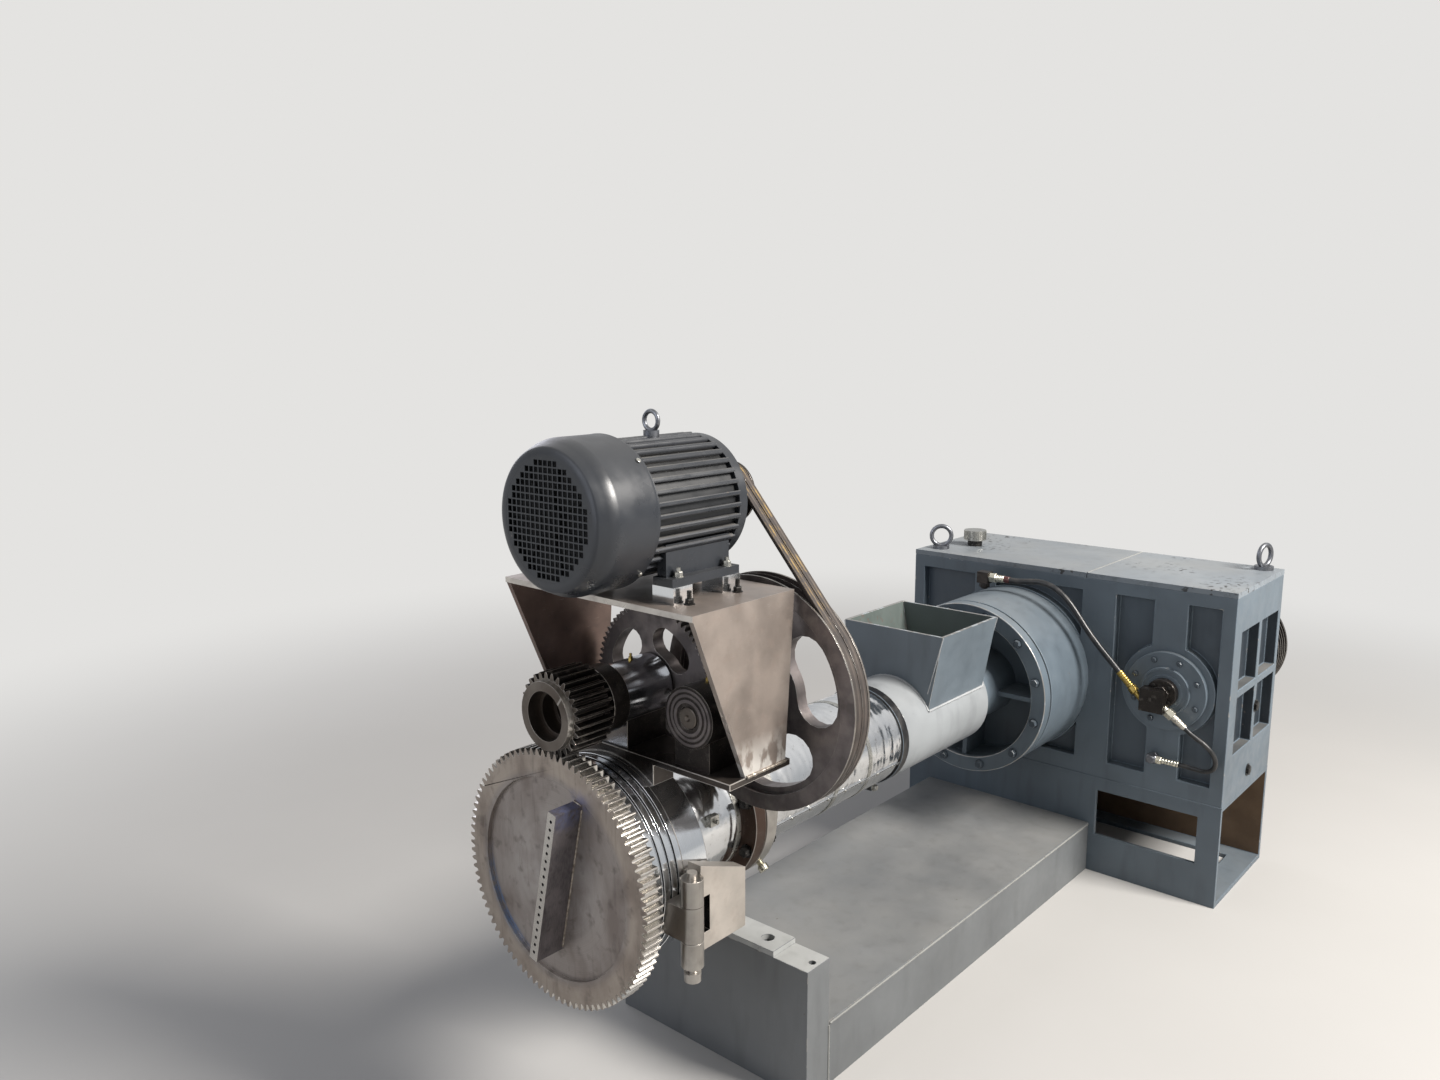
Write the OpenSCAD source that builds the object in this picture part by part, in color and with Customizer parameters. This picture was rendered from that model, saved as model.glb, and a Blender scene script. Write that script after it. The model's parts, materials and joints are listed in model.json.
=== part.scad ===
// Plastic extruder with a gear-driven head, on a low welded base.
// X runs along the barrel from the head to the gearbox, Z is up, the origin is on the floor below the barrel.

/* [Base] */
// Length of the low base, from the pedestal to the gearbox stand
base_length = 1237; // [1100:1:1400]
// Width of the low base
base_width = 510; // [440:1:560]
// Height of the base's side beams, without the deck
base_height = 134; // [100:1:180]
// Thickness of the deck sheet
deck_thickness = 6; // [4:0.5:10]
// Wall of the base's beams
beam_wall = 8; // [5:0.5:12]
// Flange width of the base's beams
beam_flange = 60; // [40:1:80]
// Height of the front pedestal
pedestal_height = 278; // [240:1:320]
// Thickness of the front pedestal along the barrel
pedestal_depth = 72; // [60:1:100]

/* [Gearbox] */
// Length of the gearbox along the barrel
gearbox_depth = 395; // [340:1:460]
// Width of the gearbox across the barrel
gearbox_width = 930; // [860:1:1000]
// Height of the gearbox with its lid
gearbox_height = 570; // [520:1:620]
// How far the gearbox's middle lies to the right of the barrel
gearbox_offset = 138; // [100:1:170]
// Thickness of the lid plates
lid_thickness = 14; // [10:1:25]
// Depth of the pockets between the gearbox's ribs
pocket_depth = 28; // [15:1:40]
// Height of the rails above and below the pockets
rail_height = 48; // [35:1:60]
// Radius of the round bearing cover
cover_plate_radius = 104; // [90:1:115]
// Radius of the grooved pulley behind the gearbox
input_pulley_radius = 155; // [140:1:180]
// Height of the gearbox stand
stand_height = 278; // [250:1:320]
// Plate of the gearbox stand
stand_plate = 12; // [8:1:20]

/* [Barrel] */
// Height of the barrel's axis
axis_height = 545; // [520:1:570]
// Radius of the barrel tube
barrel_radius = 82; // [70:1:90]
// Bore of the barrel
bore_radius = 50; // [40:0.5:60]
// Radius of the screw's core
screw_radius = 30; // [25:0.5:38]
// Radius of the heater covers
cover_radius = 116; // [105:0.5:120]
// Length of the heater cover between the head and the flanges
front_cover_length = 192; // [150:1:240]
// Radius of the feed section
feed_radius = 118; // [112:0.5:130]
// Length of the feed section
feed_length = 380; // [340:1:420]
// Length of the neck that shows between the feed section and the drum
neck_length = 89; // [60:1:120]
// Radius of the bolted barrel flanges
flange_radius = 145; // [130:1:160]
// Thickness of the two barrel flanges together
flange_width = 64; // [50:1:80]
// Radius of the thrust drum on the gearbox
drum_radius = 232; // [215:1:240]
// Length of the thrust drum with its flange
drum_length = 269; // [230:1:300]
// Wall of the thrust drum
drum_wall = 40; // [30:1:50]

/* [Feed box] */
// Length of the feed box
feed_box_length = 266; // [220:1:290]
// Width of the feed box at its rim
feed_rim_width = 280; // [240:1:320]
// Height of the feed box's rim above the barrel's axis
feed_rim_rise = 239; // [200:1:270]
// Sheet of the feed box
feed_sheet = 6; // [4:0.5:10]

/* [Head] */
// Radius of the head cylinder
head_radius = 192; // [180:1:200]
// Length of the head cylinder
head_length = 62; // [50:1:80]
// Length of the threaded ring in front of it
threaded_length = 68; // [55:1:80]
// Thickness of the ring gear
ring_gear_width = 40; // [30:1:50]
// Length of the pinion
pinion_length = 88; // [75:1:95]
// Length of the bar across the gear plate
strip_length = 294; // [240:1:320]
// Depth of that bar
strip_depth = 50; // [30:1:60]
// Width of that bar
strip_width = 20; // [14:1:30]

/* [Head drive] */
// Outer radius of the belt wheel
wheel_radius = 218; // [190:1:222]
// Width of the belt wheel
wheel_width = 46; // [42:1:60]
// Radius of the motor pulley
motor_pulley_radius = 58; // [50:1:70]
// Height of the drive bracket's top above the pinion's axis
bracket_rise = 210; // [200:1:230]
// Plate of the drive bracket
bracket_plate = 10; // [8:1:16]
// Height of the packers under the motor's feet
packer_height = 28; // [15:1:40]
// Height of the motor's axis above its feet
motor_rise = 118; // [114:1:130]
// Length of the motor without its shaft
motor_length = 364; // [320:1:400]
// Radius of the motor's fan cover
fan_cover_radius = 128; // [122:1:135]
// Length of the motor's fan cover
fan_cover_length = 121; // [100:1:140]
// Radius of the flat grille at the fan cover's front
grille_radius = 106; // [95:1:110]

/* [Hidden] */
$fn = 96;

paint = [0.18, 0.23, 0.27];
steel = [0.62, 0.60, 0.57];
chrome = [0.80, 0.81, 0.82];
dark = [0.12, 0.12, 0.13];
raw_steel = [0.55, 0.50, 0.47];

// Running clearance between curved faces of different bodies.
run = 0.3;

// Stations along the barrel, from the gearbox towards the head.
gearbox_x = 463;
gearbox_back = gearbox_x + gearbox_depth;
base_front = gearbox_x - base_length;
pedestal_x = base_front - pedestal_depth;
drum_x = gearbox_x - drum_length;
drum_flange_width = 34;
drum_groove = 6;
drum_body_x = drum_x + drum_flange_width;
drum_recess_x = drum_body_x + drum_groove + 75;
neck_x = drum_x - neck_length;
feed_x = neck_x - feed_length;
band_width = 25;
band_x = feed_x - band_width;
flange_x = pedestal_x - 22;
head_x = flange_x - front_cover_length;
ring_rear_x = head_x - head_length;
ring_front_x = ring_rear_x - threaded_length;
gear_x = ring_front_x - ring_gear_width - 26;

// The gearbox's faces, and the axes of its cover and its input shaft.
gearbox_right = -gearbox_offset - gearbox_width / 2;
gearbox_left = -gearbox_offset + gearbox_width / 2;
gearbox_top = stand_height + gearbox_height;
lid_z = gearbox_top - lid_thickness;
right_lid_width = 393;
lid_seam = gearbox_right + right_lid_width;
cover_y = gearbox_right + 158;
cover_z = axis_height + 21;
cover_front = gearbox_x - 16;
input_y = gearbox_right + 157;
input_z = axis_height + 55;

// The gearbox's lifting eyes.
lid_eye_ring = 29;
lid_eye_bar = 6.5;

// The gearbox's front pockets and ribs, from right to left. The third pocket takes what is left.
right_post = 35;
left_post = 33;
pocket_1 = 83;
rib_1 = 88;
pocket_2 = 101;
rib_2 = 95;
rib_3 = 65;
pocket_4 = 169;
pocket_3_start = gearbox_right + right_post + pocket_1 + rib_1 + pocket_2 + rib_2;
pocket_3_end = gearbox_left - left_post - pocket_4 - rib_3;

// The ends of the oil fittings that take the hoses.
fitting = [gearbox_x - 63, 61, axis_height + drum_radius + 33];
fitting_length = 77;
upper_port_reach = 74;
upper_port = [gearbox_x - 51, cover_y + 35 + upper_port_reach, cover_z - 36 + upper_port_reach];
lower_port_length = 80;
lower_port_way = [0, -0.8, -0.6];
lower_port = [gearbox_x - 51, cover_y - 3, cover_z - 28] + lower_port_length * lower_port_way;
valve = [gearbox_x - 23, cover_y + 20, stand_height + 100];
valve_length = 71;

// The gear train.
ring_module = 5;
ring_teeth = 92;
pinion_teeth = 28;
second_module = 4;
second_teeth = 72;
wheel_pinion_teeth = 24;
backlash = 0.5;
pinion_z = axis_height + ring_module * (ring_teeth + pinion_teeth) / 2;
wheel_y = -second_module * (second_teeth + wheel_pinion_teeth) / 2;
second_tip = second_module * (second_teeth / 2 + 1);
pinion_shaft = 25;
wheel_shaft = 20;
second_x = head_x + 60;
second_width = 28;
wheel_x = second_x + 70;
gear_hub_radius = 150;
recess_radius = 184;
recess_depth = 8;
belt_width = 17;
belt_pitch = 19;
belt_thickness = 11;

// The large bolt holes in the pedestal and the barrel's foot.
pedestal_hole = 13;
pedestal_hole_y = 128;

// The drive's carrier.
saddle_top = pinion_z - 93;
saddle_thickness = 12;
saddle_front = head_x - 52;
saddle_rear = head_x + 110;
bracket_top = pinion_z + bracket_rise;
bracket_clearance = 25;
bracket_right = wheel_y - 96;
bracket_left = second_tip + bracket_clearance;
bracket_front = head_x - 140;
bracket_rear = wheel_x - 12;
motor_y = wheel_y / 2;
motor_height = bracket_top + packer_height + motor_rise;
motor_end_x = wheel_x - 30;
motor_x = motor_end_x - motor_length;
foot_offset = 95;
foot_front = head_x - 105;
foot_rear = head_x + 60;

// The head's hinge.
hinge_x = ring_rear_x - 28;
hinge_y = -head_radius - 44;
knuckle_radius = 20;
hinge_pin_radius = 9;
leaf_length = 118;
leaf_height = 158;
leaf_drop = 45;
leaf_thickness = 30;
arm_length = 50;
arm_depth = 90;

// A cylinder along X, from one station to another, about the axis at (y, z).
module round_x(from, to, radius, y = 0, z = axis_height) {
    translate([from, y, z])
        rotate([0, 90, 0])
            cylinder(h = to - from, r = radius);
}

// A tube along X.
module tube_x(from, to, outer, inner, y = 0, z = axis_height) {
    difference() {
        round_x(from, to, outer, y, z);
        round_x(from - 1, to + 1, inner, y, z);
    }
}

// A box from one corner to the opposite one.
module box(low, high) {
    translate(low)
        cube(high - low);
}

// A flat outline in (Y, Z), made solid from one X to another.
module slab_x(from, to) {
    translate([from, 0, 0])
        rotate([90, 0, 90])
            linear_extrude(to - from)
                children();
}

// The angle between a radius and its own involute, in degrees.
function involute(angle) = tan(angle) * 180 / PI - angle;

// Half of a tooth's angle at a radius.
function half_tooth(radius, module_size, teeth) =
    let (pitch_radius = module_size * teeth / 2)
    let (base_radius = pitch_radius * cos(20))
    let (thickness = PI * module_size / 2 - backlash / 2)
    thickness / 2 / pitch_radius * 180 / PI + involute(20) - involute(acos(min(1, base_radius / radius)));

// A point at a radius and an angle.
function polar(radius, angle) = radius * [cos(angle), sin(angle)];

// One tooth's points, from its root on one side to its root on the other.
function tooth_points(module_size, teeth, middle) =
    let (pitch_radius = module_size * teeth / 2)
    let (root = pitch_radius - 1.25 * module_size)
    let (start = max(root, pitch_radius * cos(20) + 0.01))
    let (tip = pitch_radius + module_size)
    let (radii = [start, pitch_radius - 0.4 * module_size, pitch_radius + 0.4 * module_size, tip])
    let (halves = [for (r = radii) half_tooth(r, module_size, teeth)])
    concat(
        [polar(root, middle - halves[0])],
        [for (i = [0:3]) polar(radii[i], middle - halves[i])],
        [for (i = [3:-1:0]) polar(radii[i], middle + halves[i])],
        [polar(root, middle + halves[0])]
    );

// A spur gear's outline. Its first tooth points along the turned Y axis.
module gear_outline(module_size, teeth, turn = 0) {
    points = [for (i = [0:teeth - 1]) each tooth_points(module_size, teeth, 360 * i / teeth + turn)];
    polygon(points);
}

// Low base: channels all round with their webs outside, and two cross beams, the rear one at the origin.
module base_frame() {
    half = base_width / 2;
    edges = [base_front, base_front / 2, 0, gearbox_x];
    color(paint)
        difference() {
            box([base_front, -half, 0], [gearbox_x, half, base_height]);
            for (bay = [0:2])
                let (low = edges[bay])
                let (high = edges[bay + 1])
                let (first = bay == 0)
                let (last = bay == 2) {
                    box([low + beam_flange / (first ? 1 : 2), -half + beam_flange, -1],
                        [high - beam_flange / (last ? 1 : 2), half - beam_flange, base_height + 1]);
                    box([low + (first ? beam_wall : beam_flange / 2), -half + beam_wall, beam_wall],
                        [high - (last ? beam_wall : beam_flange / 2), half - beam_wall,
                            base_height - beam_wall]);
                }
        }
}

// Deck sheet that covers the base.
module deck_plate() {
    color(paint)
        box([base_front, -base_width / 2, base_height],
            [gearbox_x, base_width / 2, base_height + deck_thickness]);
}

// Cross beam at the front, with holes for the barrel's support and its anchors.
module front_pedestal() {
    half = base_width / 2;
    middle = pedestal_x + pedestal_depth / 2;
    color(paint)
        difference() {
            box([pedestal_x, -half, 0], [base_front, half, pedestal_height]);
            for (side = [-1, 1]) {
                translate([middle, side * pedestal_hole_y, pedestal_height - 40])
                    cylinder(h = 41, r = pedestal_hole);
                translate([middle, side * (half - 16), pedestal_height - 40])
                    cylinder(h = 41, r = 7);
            }
        }
}

// Plate stand below the gearbox: a front with a window, an open right side, a plain back.
module gearbox_stand() {
    inner_left = gearbox_left - stand_plate;
    foot = 70;
    color(paint)
        difference() {
            box([gearbox_x, gearbox_right, 0], [gearbox_back, gearbox_left, stand_height]);
            box([gearbox_x + stand_plate, gearbox_right - 1, stand_plate],
                [gearbox_back - stand_plate, inner_left, stand_height - stand_plate]);
            box([gearbox_x - 1, gearbox_right + 58, base_height - 24],
                [gearbox_x + stand_plate + 1, -base_width / 2 - 17, stand_height - 38]);
            box([gearbox_x + foot, gearbox_right + foot, -1],
                [gearbox_back - foot, inner_left - foot, stand_plate + 1]);
        }
}

// Ribbed case: pockets between upright ribs in front and at the back, two by two pockets on each side.
module gearbox_case() {
    low = stand_height + rail_height;
    high = gearbox_top - rail_height;
    first = gearbox_right + right_post;
    second = first + pocket_1 + rib_1;
    fourth = gearbox_left - left_post - pocket_4;
    spans = [
        [first, first + pocket_1], [second, second + pocket_2], [pocket_3_start, pocket_3_end],
        [fourth, fourth + pocket_4]
    ];
    sill = 129;
    head_rail = 112;
    bar = 21;
    front_margin = 57;
    pane_width = (gearbox_depth - front_margin - 2 * bar) / 2;
    pane_height = (gearbox_height - sill - head_rail - bar) / 2;
    color(paint)
        difference() {
            box([gearbox_x, gearbox_right, stand_height], [gearbox_back, gearbox_left, lid_z]);
            difference() {
                for (span = spans)
                    box([gearbox_x - 1, span[0], low], [gearbox_x + pocket_depth, span[1], high]);
                round_x(gearbox_x - 2, gearbox_back, cover_plate_radius + 18, cover_y, cover_z);
                round_x(gearbox_x - 2, gearbox_back, drum_radius + 4);
            }
            difference() {
                for (span = spans)
                    box([gearbox_back - pocket_depth, span[0], low], [gearbox_back + 1, span[1], high]);
                round_x(gearbox_x, gearbox_back + 2, 110, input_y, input_z);
            }
            for (start = [gearbox_x + front_margin, gearbox_x + front_margin + bar + pane_width])
                for (level = [stand_height + sill, stand_height + sill + bar + pane_height])
                    for (side = [gearbox_right - 1, gearbox_left - pocket_depth])
                        box([start, side, level],
                            [start + pane_width, side + pocket_depth + 1, level + pane_height]);
        }
}

// Lifting eye: a ring on a collar that is sunk 1 mm. The ring faces along X, turned about the upright.
module lifting_eye(place, ring_radius, bar_radius, turn) {
    collar = 10;
    translate(place - [0, 0, 1])
        rotate([0, 0, turn])
            union() {
                cylinder(h = collar + 1, r = ring_radius * 0.85);
                translate([0, 0, collar + 1 + ring_radius])
                    rotate([0, 90, 0])
                        rotate_extrude($fn = 48)
                            translate([ring_radius, 0])
                                circle(r = bar_radius, $fn = 16);
            }
}

// Left lid plate, from the seam to the left side, with an eye and the breather.
module gearbox_lid_left() {
    breather = [gearbox_x + 172, gearbox_left - 104, gearbox_top - 1];
    color(paint)
        union() {
            box([gearbox_x, lid_seam + 1, lid_z], [gearbox_back, gearbox_left, gearbox_top]);
            lifting_eye([gearbox_x + 61, gearbox_left - 51, gearbox_top], lid_eye_ring, lid_eye_bar, 30);
            translate(breather)
                cylinder(h = 20, r = 22);
            translate(breather + [0, 0, 19])
                cylinder(h = 30, r = 33);
        }
}

// Right lid plate, from the seam to the right side, with an eye.
module gearbox_lid_right() {
    color(paint)
        union() {
            box([gearbox_x, gearbox_right, lid_z], [gearbox_back, lid_seam - 1, gearbox_top]);
            lifting_eye([gearbox_x + 357, gearbox_right + 43, gearbox_top], lid_eye_ring, lid_eye_bar, 75);
        }
}

// Round cover of the front bearing, with a step and a recess.
module bearing_cover() {
    color(paint)
        difference() {
            union() {
                round_x(cover_front, gearbox_x, cover_plate_radius, cover_y, cover_z);
                round_x(cover_front - 8, cover_front + 1, 64, cover_y, cover_z);
            }
            tube_x(cover_front - 9, cover_front - 5, 58, 46, cover_y, cover_z);
        }
}

// Oil union on the bearing cover, with a port for each hose.
module oil_union() {
    seat = cover_front - 8;
    color(dark)
        union() {
            round_x(seat - 20, seat, 38, cover_y, cover_z);
            box([seat - 52, cover_y - 17, cover_z - 46], [seat - 14, cover_y + 45, cover_z + 14]);
            translate(upper_port)
                rotate([135, 0, 0])
                    cylinder(h = upper_port_reach * sqrt(2), r = 8);
            translate(lower_port)
                rotate([-asin(0.8), 0, 0])
                    cylinder(h = lower_port_length, r = 8);
            translate(lower_port - 0.45 * lower_port_length * lower_port_way)
                rotate([-asin(0.8), 0, 0])
                    cylinder(h = 0.55 * lower_port_length, r = 12);
        }
}

// Direction of a hose at one of its points.
function hose_direction(points, i) =
    let (a = points[max(0, i - 1)])
    let (b = points[min(len(points) - 1, i + 1)])
    (b - a) / norm(b - a);

// A direction square to the hose's own.
function hose_side(d) =
    let (s = cross(d, [0.3, 0.1, 0.9]))
    s / norm(s);

// A hose's tube, swept along its own points.
module hose(points, radius, sides = 12) {
    rings = [
        for (i = [0:len(points) - 1])
            let (d = hose_direction(points, i))
            let (u = hose_side(d))
            let (v = cross(d, u))
            for (k = [0:sides - 1])
                points[i] + radius * (cos(360 * k / sides) * u + sin(360 * k / sides) * v)
    ];
    count = len(points);
    end = (count - 1) * sides;
    faces = concat(
        [for (k = [1:sides - 2]) [0, k, k + 1]],
        [for (i = [0:count - 2]) for (k = [0:sides - 1])
            let (next = (k + 1) % sides)
            let (here = i * sides)
            let (there = here + sides)
            each [[here + k, there + k, there + next], [here + k, there + next, here + next]]],
        [for (k = [1:sides - 2]) [end, end + k + 1, end + k]]
    );
    polyhedron(rings, faces);
}

// The hoses' routes for the model's own sizes. Their ends follow the ports when a size changes.
upper_hose_radius = 8;
lower_hose_radius = 6;
upper_hose_points = [
    [400, -16, 810], [400, -34, 810], [400, -56, 812], [401, -80, 815], [403, -104, 816], [405, -128, 812],
    [406, -150, 803], [407, -170, 789], [408, -188, 772], [409, -204, 753], [410, -220, 732],
    [411, -237, 709], [412, -256, 686], [412, -279, 661], [412, -300, 640], [412, -322, 618],
    [412, -336, 604]
];
lower_hose_points = [
    [412, -512, 490], [412, -528, 478], [413, -544, 468], [415, -559, 459], [418, -572, 448],
    [422, -582, 435], [426, -588, 420], [430, -589, 405], [434, -584, 391], [437, -573, 381],
    [439, -558, 376], [440, -542, 376], [440, -526, 377], [440, -510, 378], [440, -496, 378]
];

// Points moved so that they run from one place to another, with both ends' directions kept.
function routed(points, start, end) =
    let (last = len(points) - 1)
    [for (i = [0:last])
        let (t = i / last)
        let (share = t * t * (3 - 2 * t))
        points[i] + (1 - share) * (start - points[0]) + share * (end - points[last])];

// Black hose from the oil union up to the drum.
module upper_hose() {
    color(dark)
        hose(routed(upper_hose_points, fitting + [0, -fitting_length, 0], upper_port), upper_hose_radius);
}

// Black hose from the oil union round to the drain valve.
module lower_hose() {
    color(dark)
        hose(routed(lower_hose_points, lower_port, valve + [0, -valve_length, 0]), lower_hose_radius);
}

// Fitting on top of the drum, with the stub that takes the hose.
module drum_fitting() {
    color(dark)
        difference() {
            union() {
                translate(fitting + [0, 0, -80])
                    cylinder(h = 80, r = 9);
                translate(fitting)
                    box([-15, -17, -17], [15, 17, 15]);
                translate(fitting)
                    rotate([90, 0, 0]) {
                        cylinder(h = fitting_length - 36, r = 13);
                        cylinder(h = fitting_length, r = 9);
                    }
            }
            round_x(fitting[0] - 20, fitting[0] + 20, drum_radius);
        }
}

// Elbow and valve low on the gearbox's front.
module drain_valve() {
    half = 13;
    color(dark)
        union() {
            round_x(valve[0], gearbox_x, 9, valve[1], valve[2]);
            translate(valve)
                box(-half * [1, 1, 1], half * [1, 1, 1]);
            translate(valve)
                rotate([90, 0, 0])
                    cylinder(h = valve_length, r = 8);
        }
}

// Grooved pulley on the input shaft, behind the gearbox.
module input_pulley() {
    start = gearbox_back + 22;
    width = 86;
    grooves = 4;
    color(dark)
        difference() {
            union() {
                round_x(gearbox_back, start + 8, 36, input_y, input_z);
                round_x(start, start + width, input_pulley_radius, input_y, input_z);
            }
            for (groove = [0:grooves - 1])
                let (low = start + 6 + groove * belt_pitch)
                    tube_x(low, low + belt_pitch - 4, input_pulley_radius + 1, input_pulley_radius - 12,
                        input_y, input_z);
            tube_x(start + 38, start + width + 1, input_pulley_radius - 26, 52, input_y, input_z);
        }
}

// Thrust drum on the gearbox's front, hollow around the neck.
module thrust_drum() {
    color(paint)
        difference() {
            round_x(drum_body_x, gearbox_x, drum_radius);
            tube_x(drum_body_x - 1, drum_body_x + drum_groove, drum_radius + 1, drum_radius - 12);
            round_x(drum_body_x - 1, drum_recess_x, drum_radius - drum_wall);
        }
}

// Bolted ring on the front of the drum.
module drum_flange() {
    color(paint)
        tube_x(drum_x, drum_body_x, drum_radius, drum_radius - drum_wall);
}

// Neck between the feed section and the drum, with four ribs inside the drum.
module feed_neck() {
    color(paint)
        difference() {
            union() {
                round_x(neck_x, drum_recess_x, 92);
                for (turn = [0:90:270])
                    translate([0, 0, axis_height])
                        rotate([turn, 0, 0])
                            box([drum_x + 12, -6, 60], [drum_recess_x, 6, drum_radius - drum_wall - 1]);
            }
            round_x(neck_x - 1, drum_recess_x + 1, bore_radius);
        }
}

// The feed box stands over the feed section, with the throat below its middle.
feed_box_setback = 13;
feed_box_x = neck_x - feed_box_setback - feed_box_length;
throat_length = 160;
throat_width = 80;
throat_x = feed_box_x + 44;

// Feed section of the barrel, with its throat.
module feed_barrel() {
    color(paint)
        difference() {
            round_x(feed_x, neck_x, feed_radius);
            round_x(feed_x - 1, neck_x + 1, bore_radius);
            box([throat_x, -throat_width / 2, axis_height],
                [throat_x + throat_length, throat_width / 2, axis_height + feed_radius + 1]);
        }
}

// Outline of the feed box across the barrel, wider at its rim.
module feed_outline(grow) {
    foot = feed_rim_width / 2 - 40 + grow;
    rim = feed_rim_width / 2 + grow;
    top = axis_height + feed_rim_rise + max(0, -grow);
    polygon([[-foot, axis_height + 20], [foot, axis_height + 20], [rim, top], [-rim, top]]);
}

// Open feed box of sheet, seated on the feed section.
module feed_box() {
    end = feed_box_x + feed_box_length;
    color(paint)
        difference() {
            slab_x(feed_box_x, end)
                feed_outline(0);
            slab_x(feed_box_x + feed_sheet, end - feed_sheet)
                feed_outline(-feed_sheet);
            round_x(feed_box_x - 1, end + 1, feed_radius);
        }
}

// Screw in the barrel: a core with a full-width land at each end.
module feed_screw() {
    start = head_x + 20;
    land = 40;
    color(steel)
        union() {
            round_x(start, drum_recess_x, screw_radius);
            for (x = [start, drum_recess_x - land])
                round_x(x, x + land, bore_radius - run);
        }
}

// Barrel tube inside the heater covers.
module screw_barrel() {
    color(steel)
        tube_x(head_x, feed_x, barrel_radius, bore_radius);
}

// Black clamp band between the covers and the feed section.
module clamp_band() {
    color(dark)
        union() {
            tube_x(band_x, feed_x, feed_radius, barrel_radius);
            box([band_x + 3, -30, axis_height - feed_radius - 16],
                [feed_x - 3, 0, axis_height - feed_radius + 8]);
        }
}

// Shiny heater cover between the flanges and the feed section.
module rear_heater_cover() {
    color(chrome)
        tube_x(flange_x + flange_width, band_x, cover_radius, barrel_radius);
}

// Pair of bolted barrel flanges.
module barrel_flange() {
    joint = flange_x + flange_width / 2;
    color(raw_steel)
        difference() {
            round_x(flange_x, flange_x + flange_width, flange_radius);
            round_x(flange_x - 1, flange_x + flange_width + 1, barrel_radius);
            tube_x(joint - 1.5, joint + 1.5, flange_radius + 1, flange_radius - 6);
        }
}

// Shiny heater cover between the head and the flanges.
module front_heater_cover() {
    color(chrome)
        tube_x(head_x, flange_x, cover_radius, barrel_radius);
}

// Upright plate between the pedestal and the barrel flanges.
module barrel_support() {
    foot = 12;
    foot_half = 170;
    color(paint)
        difference() {
            union() {
                box([flange_x + flange_width / 2, -50, pedestal_height],
                    [flange_x + flange_width, 50, axis_height - 100]);
                box([pedestal_x, -foot_half, pedestal_height], [base_front, foot_half, pedestal_height + foot]);
            }
            round_x(flange_x - 1, flange_x + flange_width + 1, flange_radius);
            for (side = [-1, 1])
                translate([pedestal_x + pedestal_depth / 2, side * pedestal_hole_y, pedestal_height - 1])
                    cylinder(h = foot + 2, r = pedestal_hole);
        }
}

// Head cylinder behind the threaded ring.
module head_cylinder() {
    color(steel)
        difference() {
            round_x(ring_rear_x, head_x, head_radius);
            round_x(ring_rear_x - 1, head_x + 1, bore_radius);
        }
}

// Threaded ring with its grooves, in front of the head cylinder.
module threaded_ring() {
    pitch = 18;
    color(chrome)
        difference() {
            round_x(ring_front_x, ring_rear_x, head_radius + 1);
            round_x(ring_front_x - 1, ring_rear_x + 1, gear_hub_radius + run);
            for (groove = [0:2])
                let (low = ring_front_x + 14 + pitch * groove)
                    tube_x(low, low + 5, head_radius + 2, head_radius - 4);
        }
}

// Rear hinge leaf, welded to the head cylinder, with its outer knuckles.
module hinge_leaf() {
    low = axis_height - 120;
    knuckle = 47;
    upper_level = 113;
    color(raw_steel)
        difference() {
            union() {
                translate([ring_rear_x - 6, hinge_y + leaf_thickness, low + 15])
                    rotate([90, 0, 0])
                        linear_extrude(leaf_thickness)
                            polygon([
                                [0, 0], [leaf_length, 0],
                                [leaf_length, leaf_height - leaf_drop], [0, leaf_height]
                            ]);
                translate([ring_rear_x + 8, hinge_y + leaf_thickness - 4, low + 45])
                    cube([arm_length, arm_depth, 100]);
                for (level = [low, low + upper_level]) {
                    translate([hinge_x, hinge_y, level])
                        cylinder(h = knuckle, r = knuckle_radius);
                    box([hinge_x, hinge_y, level],
                        [ring_rear_x + 2, hinge_y + knuckle_radius, level + knuckle]);
                }
            }
            translate([hinge_x, hinge_y, low - 25])
                cylinder(h = 220, r = hinge_pin_radius);
            box([ring_rear_x - 7, hinge_y - 1, low + knuckle],
                [ring_rear_x + 5, hinge_y + leaf_thickness + 1, low + upper_level]);
            round_x(ring_front_x, head_x + 60, head_radius);
        }
}

// Pin of the head's hinge, with the middle knuckle of the ring's leaf.
module hinge_pin() {
    low = axis_height - 133;
    color(steel)
        union() {
            translate([hinge_x, hinge_y, low])
                cylinder(h = 184, r = hinge_pin_radius);
            translate([hinge_x, hinge_y, low + 61])
                cylinder(h = 64, r = knuckle_radius);
            translate([hinge_x, hinge_y, low - 14])
                cylinder(h = 16, r = 15);
            difference() {
                box([hinge_x - 20, hinge_y, low + 63], [hinge_x + 18, -170, low + 123]);
                round_x(gear_x, head_x, head_radius + 1);
            }
        }
}

// Plate on the head cylinder that carries the head's drive.
module saddle_plate() {
    gap = 15;
    notch = sqrt(pow(second_tip, 2) - pow(pinion_z - saddle_top, 2)) + gap;
    color(raw_steel)
        difference() {
            union() {
                box([saddle_front, bracket_right, saddle_top - saddle_thickness],
                    [saddle_rear, bracket_left, saddle_top]);
                box([saddle_front, -110, axis_height + 150], [head_x, 110, saddle_top - 1]);
            }
            round_x(saddle_front - 1, head_x + 1, head_radius);
            box([second_x - 8, -notch, saddle_top - saddle_thickness - 1],
                [saddle_rear + 1, notch, saddle_top + 1]);
        }
}

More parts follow.
